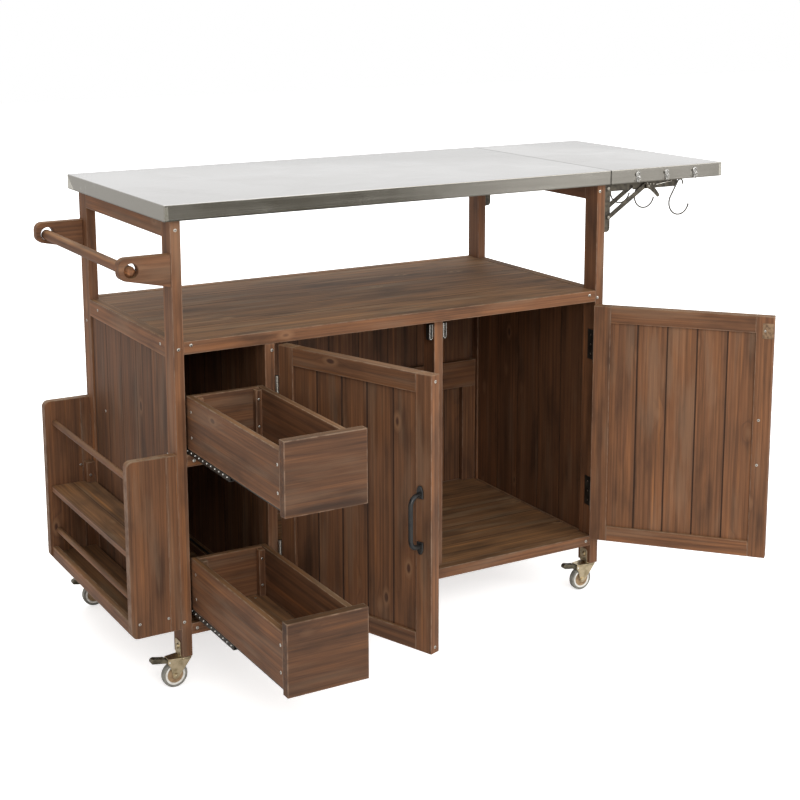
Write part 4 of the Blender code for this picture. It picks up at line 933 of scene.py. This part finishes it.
for name, y in (("rack_front_panel", -0.241), ("rack_rear_panel", 0.241)):
    # The outer board carries the two rounded corners. The inner one is straight.
    bm = timber_mesh()
    lo, hi = (RACK_JOINT + 0.0001, y - 0.009, RACK_LOW), (INNER, y + 0.009, RACK_HIGH)
    board(bm, lo, hi, 2, 0.0004, tone=0.4)
    loop = [(RACK_JOINT - 0.0001, RACK_LOW), (RACK_JOINT - 0.0001, RACK_HIGH)]
    loop += arc((-0.574, 0.45), 0.012, 90, 180, 8) + arc((-0.574, 0.132), 0.012, 180, 270, 8)
    shaped_board(bm, loop, 0.018, upright(y), 1, 0, 0.0006, 0.42)
    timber_piece(name, bm)
bm = timber_mesh()
shelf = (-0.578, -0.2317, 0.268), (INNER, 0.2317, 0.28)
boards(bm, *shelf, 0, 1, 2, gap=0.0001, bevel=0.0002, tone=0.46)
timber_piece("rack_shelf", bm)
bm = timber_mesh()
board(bm, (-0.5698, -0.2317, 0.122), (INNER, 0.2317, 0.134), 1)
board(bm, (-0.582, -0.2317, 0.122), (-0.57, 0.2317, 0.146), 1, 0.0009)
timber_piece("rack_tray", bm)


def pole(bm, x, z, radius, sides=28):
    """A turned timber rod along Y with eased ends."""
    round_bar(bm, [(x, y, z) for y in (-0.24, 0.0, 0.24)], radius, sides)
    grain_on(bm, list(bm.verts), 1, 0, Vector((x, 0.0, z)))


for name, z in (("rack_upper_dowel", 0.416), ("rack_lower_dowel", 0.181)):
    bm = timber_mesh()
    pole(bm, -0.566, z, 0.006)
    timber_piece(name, bm)

bm = timber_mesh()
for low, high in ((-0.2317, -0.213), (0.213, 0.2317)):
    board(bm, (INNER - 0.019, low, 0.2803), (INNER, high, 0.324), 2, 0.001)
publish("rack_cleats", bm, fir, "cabinet")

# Towel bar.
# A turned bar lying loose in the bores of two tapering brackets, each sawn from one board.
BORE, BORE_R = Vector((-0.5625, 0.8145)), 0.0135
EASE = 0.0011
LAYERS = ((-0.01, EASE), (-0.01 + EASE, 0.0), (0.01 - EASE, 0.0), (0.01, EASE))
outline = [(INNER, 0.778), (INNER, 0.838)]
outline += arc((-0.571, 0.823), 0.015, 90, 180, 12) + arc((-0.571, 0.811), 0.015, 180, 259, 12)
outline = [Vector(point) for point in outline]
outward = [Vector(point) for point in circle(1.0, 36)]
around = []
for ray in outward:
    hits = [intersect_line_line_2d(BORE, BORE + ray, first, second) for first, second in pairs(outline)]
    around.append(max((hit for hit in hits if hit is not None), key=lambda hit: (hit - BORE).length))
# The square corners at the post are kept by moving the nearest ray onto each.
for corner in outline[:2]:
    nearest = min(range(len(around)), key=lambda k: (around[k] - corner).length)
    around[nearest] = corner

for name, y in (("front_towel_bracket", -0.24), ("rear_towel_bracket", 0.24)):
    # Rings of points along the outline and the bore, joined all round.
    bm = timber_mesh()
    shell = []
    for depth, ease in LAYERS:
        shell.append([bm.verts.new((*(edge - ray * ease), depth)) for edge, ray in zip(around, outward)])
    for depth, ease in reversed(LAYERS):
        shell.append([bm.verts.new((*(BORE + ray * (BORE_R + ease)), depth)) for ray in outward])
    for near, far in pairs(shell):
        bridge(bm, near, far)
    grain_on(bm, list(bm.verts), 0, 1, Vector((*BORE, 0)))
    bmesh.ops.transform(bm, matrix=upright(y), verts=bm.verts)
    timber_piece(name, bm)

bm = timber_mesh()
pole(bm, BORE.x, 0.8118, 0.0105, 40)
timber_piece("towel_bar", bm, "towel_bar")

# Worktop and flap.
# Thin stainless pans folded down over softwood boards, with tight folds.
# The worktop lies on the posts, and the flap on the arms of its folding brackets.
outputs = [(label, NUMBER) for label in ("Line", "Smudge", "Scratch", "Wave")]
brushing, given, gives = group_of("brushed_sheet", [], outputs)
where = coordinate(brushing)
slanting = {"Vector": where, "Rotation": (0.0, 0.0, 0.7), "Scale": (6.0, 160.0, 60.0)}
marks = noise(brushing, node(brushing, "ShaderNodeMapping", slanting).outputs[0], 1.0, 1.0)
smudge = noise(brushing, where, 7.0, 5.0, Distortion=0.6)
effects = {
    "Line": noise(brushing, stretched(brushing, where, (3.0, 900.0, 900.0)), 1.0, 4.0),
    "Smudge": between(brushing, smudge, 0.4, 0.72),
    "Scratch": between(brushing, marks, 0.7, 0.76),
    "Wave": noise(brushing, where, 9.0, 1.0),
}
feed(brushing, gives, effects)
PAN_JOINT = 0.4888 + SHIFT.x


def brushed(name, light, dark, shade):
    """Brushed stainless sheet. The folded sides are painted darker than the top, as painted shade."""
    made, tree, surface = new_material(name)
    lines = node(tree, "ShaderNodeGroup", node_tree=brushing).outputs
    hair = between(tree, lines["Line"], 0.3, 0.7)
    facing_z = node(tree, "ShaderNodeSeparateXYZ", {0: coordinate(tree, "Normal")}).outputs["Z"]
    # Faces that look sideways are multiplied by the shade colour: painted shade for the skirts' darker
    # reflections.
    side = mixed(tree, between(tree, facing_z, 0.3, 0.9), shade, WHITE[:3])
    toned = mixed(tree, 1.0, mixed(tree, hair, dark, light), side, "MULTIPLY")
    dirt = worked(tree, "MULTIPLY", lines["Smudge"], 0.1)
    scratches = worked(tree, "MULTIPLY", lines["Scratch"], 0.35)
    scratched = mixed(tree, scratches, mixed(tree, dirt, toned, (0.36, 0.345, 0.315)), (0.8, 0.79, 0.77))
    # The joint between the two pans shows as a fine dark line along both of their edges.
    place = node(tree, "ShaderNodeSeparateXYZ", {0: coordinate(tree)}).outputs
    off_joint = worked(tree, "ABSOLUTE", worked(tree, "SUBTRACT", place["X"], PAN_JOINT))
    joint = between(tree, off_joint, 0.0008, 0.0016, 0.85, 0.0)
    jointed = mixed(tree, joint, scratched, (0.06, 0.055, 0.045))
    # A dark band along the raw lower edge of the skirt is painted shadow.
    hem_shadow = between(tree, place["Z"], 0.9012, 0.9026, 0.6, 0.0)
    rough = between(tree, lines["Smudge"], 0.0, 1.0, 0.17, 0.23)
    fine_bump = relief(tree, lines["Line"], 0.07, 0.0001)
    inputs = {
        "Base Color": mixed(tree, hem_shadow, jointed, (0.1, 0.09, 0.07)),
        "Metallic": 1.0,
        "Roughness": worked(tree, "MULTIPLY_ADD", hair, 0.06, rough),
        "Normal": relief(tree, lines["Wave"], 0.06, 0.004, Normal=fine_bump),
    }
    feed(tree, surface, inputs)
    return made


sheet_steel = brushed("brushed_stainless", (0.61, 0.6, 0.59), (0.53, 0.52, 0.51), (0.56, 0.54, 0.49))
lap_steel = brushed("lapped_stainless", (0.74, 0.73, 0.7), (0.64, 0.63, 0.6), (0.86, 0.84, 0.78))
HALF_WIDE = 0.267
UNDER, TOP = 0.9, 0.93
SHEET, FOLD, CORNER = 0.001, 0.0014, 0.0016
MARGIN = 0.0013  # from the outside of the skirt to the boards


def pan(bm, left, right):
    """A pan folded down on four sides: rings from inside its top, round the edge and over the fold."""
    rings = [(SHEET, TOP - SHEET), (SHEET, UNDER), (0.0, UNDER)]
    rings += arc((FOLD, TOP - FOLD), FOLD, 180, 90, 4)
    rows = []
    for depth, z in rings:
        r = max(CORNER - depth, 0.0006)
        x0, x1, y = left + depth + r, right - depth - r, HALF_WIDE - depth - r
        loop = []
        for start, centre in ((0, (x1, y)), (90, (x0, y)), (180, (x0, -y)), (270, (x1, -y))):
            loop += arc(centre, r, start, start + 90, 4)
        rows.append([bm.verts.new((*point, z)) for point in loop])
    for near, far in zip(rows, rows[1:]):
        bridge(bm, near, far)
    bm.faces.new(rows[0][::-1])
    bm.faces.new(rows[-1])


for name, left, right, body in (
    ("worktop", -0.5045, 0.4885, "cabinet"),
    ("flap", 0.4891, 0.7905, "flap"),
):
    bm = bmesh.new()
    pan(bm, left, right)
    dress(f"{name}_skin", bm, sheet_steel, body, 10)
    bm = timber_mesh()
    y = HALF_WIDE - MARGIN
    corners = (left + MARGIN, -y, UNDER), (right - MARGIN, y, TOP - MARGIN)
    boards(bm, *corners, 1, 0, 4, gap=0.0004, bevel=0.0011)
    if name == "worktop":
        for x in (-POST_X, POST_X):
            board(bm, (x - 0.01, -IN_Y, 0.865), (x + 0.01, IN_Y, 0.9002), 1, 0.0012)
    dress(f"{name}_core", bm, fir, body)

# Laps of the sheet at the corners, folded flat on the skirt.
# Three clips of chromed wire, each with a tab that lies on the flap's front skirt.
chrome = metal("chromed_wire", (0.56, 0.55, 0.53), (0.34, 0.33, 0.3), 0.14, 1.0, 3.0, 0.02)
fold = [(0.228, 0.9006), (0.264, 0.9006), (0.264, 0.9255)]
for name, side_x, body, way in (("worktop", -0.5045, "cabinet", 1), ("flap", 0.7905, "flap", -1)):
    bm = bmesh.new()
    near, far = side_x + way * 0.0022, side_x + way * 0.0085
    tab = [(near, 0.9006), (far, 0.9006), (far, 0.9262), (near, 0.9262)]
    for y in (-0.2671, 0.2671):
        plate(bm, tab[::way], 0.0006, upright(y), 0.0001)
    plate(bm, fold, 0.0006, Matrix.Translation((side_x - way * 0.0001, 0, 0)) @ FACING_SIDE, 0.0001)
    publish(f"{name}_laps", bm, lap_steel, body)

bm = bmesh.new()
for x in (0.5585, 0.6358, 0.7131):
    tab = arc((x, 0.919), 0.0052, 0, 180, 10) + arc((x, 0.9052), 0.0038, 180, 360, 8)
    plate(bm, tab, 0.001, upright(-0.2677), 0.0003)
    eye = arc((x, 0.9175), 0.005, 0, math.degrees(5.72), 11)
    round_bar(bm, [(u, -0.2695, v) for u, v in eye], 0.001, 10)
    side_eye = arc((x + 0.004, 0.909), 0.003, 0, math.degrees(5.4), 9)
    round_bar(bm, [(u, -0.27, v) for u, v in side_eye], 0.0009, 10)
    bend = [(-0.269, 0.915)] + arc((-0.272, 0.904), 0.003, 0, -math.degrees(3.15), 9)
    round_bar(bm, [(x - 0.0015, u, v) for u, v in bend], 0.001, 10)
publish("flap_clips", bm, chrome, "flap", smooth=40)

# Folding brackets.
# A channel on the post, a channel under the flap and two flat struts, all of blackened sheet.
# They turn on rivets, and are screwed to the post and to the flap.
bracket_steel = metal("bracket_steel", (0.04, 0.034, 0.025), (0.105, 0.09, 0.065), 0.4, 0.6, 1.6)
rivet_steel = metal("rivet_steel", (0.3, 0.28, 0.24), (0.12, 0.11, 0.09), 0.32, 1.0, 3.0)
AXLE_A, AXLE_B, AXLE_C = (0.499, 0.8888), (0.499, 0.8276), (0.6, 0.8926)
SLOPE = math.degrees(math.atan2(AXLE_C[1] - AXLE_B[1], AXLE_C[0] - AXLE_B[0]))


def rivet(bm, x, y, z, way, radius):
    """A domed rivet head on a face that looks to the front or the back."""
    dome = ((0.0, 0.0), (1.0, 0.0), (0.96, 0.0007), (0.7, 0.0014), (0.3, 0.0017), (0.0, 0.0017))
    turned(bm, [(radius * part, high) for part, high in dome], (x, y, z), (0, way, 0), 24, 1)


for end, y, side in (("front", -0.229, -1), ("rear", 0.229, 1)):
    bm = bmesh.new()
    half = 0.0162
    slab(bm, (0.4878, y - half - 0.0006, 0.796), (0.4893, y + half + 0.0006, 0.8956), 0.0005)
    cheek = [(0.4884, 0.7964)] + arc((0.4958, 0.8044), 0.008, 270, 360, 8)
    cheek += arc((0.4958, 0.8872), 0.008, 0, 90, 8) + [(0.4884, 0.8952)]
    for way in (-1, 1):
        plate(bm, cheek, 0.0015, upright(y + way * half), 0.0003)
    for z in (0.803, 0.843, 0.872):
        screw_head(bm, (0.4893, y, z), (1, 0, 0), 0.0036, 1)
    dress(f"{end}_bracket_leg", bm, (bracket_steel, *SCREW), "cabinet")

    bm = bmesh.new()
    half = 0.0143
    slab(bm, (0.4992, y - half - 0.0006, 0.8982), (0.6855, y + half + 0.0006, 0.8996), 0.0005)
    cheek = arc(AXLE_A, 0.007, 90, 270, 12) + [(0.5557, 0.8818), (0.5557, 0.8921)]
    cheek += [(0.5647, 0.8921), (0.5647, 0.8818)] + arc((0.68, 0.8878), 0.006, 270, 360, 6)
    cheek += [(0.686, 0.8992), (0.4994, 0.8992)]
    for way in (-1, 1):
        plate(bm, cheek, 0.0015, upright(y + way * half), 0.0003)
        rivet(bm, AXLE_A[0], y + way * 0.0168, AXLE_A[1], way, 0.0038)
        for x in (0.6115, 0.6205):
            rivet(bm, x, y + way * 0.015, 0.8905, way, 0.0026)
    # The release lever on the outer cheek, which unlocks the struts.
    wire = [(0.627, 0.889), (0.656, 0.8925), (0.668, 0.8935), (0.67, 0.8975)]
    round_bar(bm, [(u, y + side * 0.016, v) for u, v in wire], 0.0009, 10, 2)
    lever = [(0.595, 0.894), (0.595, 0.885), (0.606, 0.88), (0.616, 0.8715)]
    lever += arc((0.6265, 0.8672), 0.0042, 225, 405, 8) + [(0.62, 0.8815), (0.61, 0.889)]
    plate(bm, lever, 0.0012, upright(y + side * 0.0232), 0.0003)
    rivet(bm, 0.601, y + side * 0.0236, 0.8885, side, 0.003)
    for x in (0.52, 0.585, 0.665):
        screw_head(bm, (x, y, 0.8982), (0, 0, -1), 0.0034, 2)
    dress(f"{end}_bracket_arm", bm, (bracket_steel, rivet_steel, *SCREW), "flap")

    bm = bmesh.new()
    strut = arc(AXLE_B, 0.005, SLOPE + 90, SLOPE + 270, 12) + arc(AXLE_C, 0.005, SLOPE - 90, SLOPE + 90, 12)
    for way in (-1, 1):
        plate(bm, strut, 0.0015, upright(y + way * 0.0181), 0.0003)
        for u, v in (AXLE_B, AXLE_C):
            rivet(bm, u, y + way * 0.0188, v, way, 0.0034)
    round_bar(bm, [(AXLE_B[0], y + out, AXLE_B[1]) for out in (-0.0185, 0.0185)], 0.0024, 16)
    dress(f"{end}_bracket_strut", bm, (bracket_steel, rivet_steel), f"{end}_strut")

# Hooks.
# Chromed S hooks of round wire. Each hangs by its small upper bow, close under the flap.
hook_wire = metal("hook_wire", (0.1, 0.095, 0.08), (0.055, 0.05, 0.042), 0.3, 1.0, 3.0, 0.02)
HOOK_X, HOOK_Z = 0.682, 0.89145
DROP_X, DROP_Z = 0.002, 0.0423  # from the middle of a hook's upper bow to that of its lower bow
lean = math.degrees(math.asin(0.02 / math.hypot(DROP_X, DROP_Z)))
turn = math.degrees(math.atan2(DROP_Z, DROP_X)) - lean + 90
path = arc((HOOK_X, HOOK_Z), 0.007, -30, turn, 18)
path += arc((HOOK_X - DROP_X, HOOK_Z - DROP_Z), 0.027, turn, 345, 34)
for name, y in (("front", -0.258), ("middle", -0.14), ("rear", -0.054)):
    bm = bmesh.new()
    wire = [(u, y, v) for u, v in path]
    round_bar(bm, wire, 0.0016, 14)
    ball(bm, wire[-1], 0.002)
    dress(f"{name}_hook", bm, hook_wire, f"{name}_hook")

# Screws, each where a board meets the one behind it. Zinc-plated, with a cross recess.
# Front and back carry the same ones, apart from the one beside the left hinges.
bm = bmesh.new()
HINGE_SIDE = (-0.29, 0.637)
faces = [(-0.4775, 0.881), (-0.4775, 0.6605), (-0.482, 0.134), (-0.453, 0.666), (0.452, 0.665)]
faces += [HINGE_SIDE, (0.456, 0.117), (-0.456, 0.117), (0.4735, 0.885), (0.4727, 0.658)]
for x, z in faces:
    screw_head(bm, (x, -HALF_D, z), (0, -1, 0), 0.0032)
    if (x, z) != HINGE_SIDE:
        screw_head(bm, (x, HALF_D, z), (0, 1, 0), 0.0032)
screw_head(bm, (-0.453, -0.2497, 0.4465), (0, -1, 0), 0.0032)
screw_head(bm, (0.0915, -0.2277, 0.654), (0, -1, 0), 0.0028)
for side in (-1, 1):
    for y, z in ((-0.1845, 0.66), (0.16, 0.66), (0.231, 0.626), (-0.231, 0.117), (0.231, 0.117)):
        screw_head(bm, (side * HALF_L, y, z), (side, 0, 0))
    for y, z in ((0.146, 0.45), (-0.195, 0.449)):
        screw_head(bm, (side * 0.4835, y, z), (side, 0, 0), 0.0028)
for x in (-0.57, -0.513):
    screw_head(bm, (x, -HALF_D, 0.148), (0, -1, 0), 0.0028)
    for z in (0.148, 0.274):
        screw_head(bm, (x, HALF_D, z), (0, 1, 0), 0.0028)
screw_head(bm, (-0.513, 0.2318, 0.316), (0, -1, 0))
screw_head(bm, (-0.4985, 0.213, 0.296), (0, -1, 0))
for number in range(11):
    screw_head(bm, (-0.4 + 0.08 * number, 0.242, 0.394), (0, 1, 0), 0.0028)
publish("frame_screws", bm, SCREW, "cabinet")

size = {"cad": [list(side) for side in cad_box], "visual": [list(side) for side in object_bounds()]}
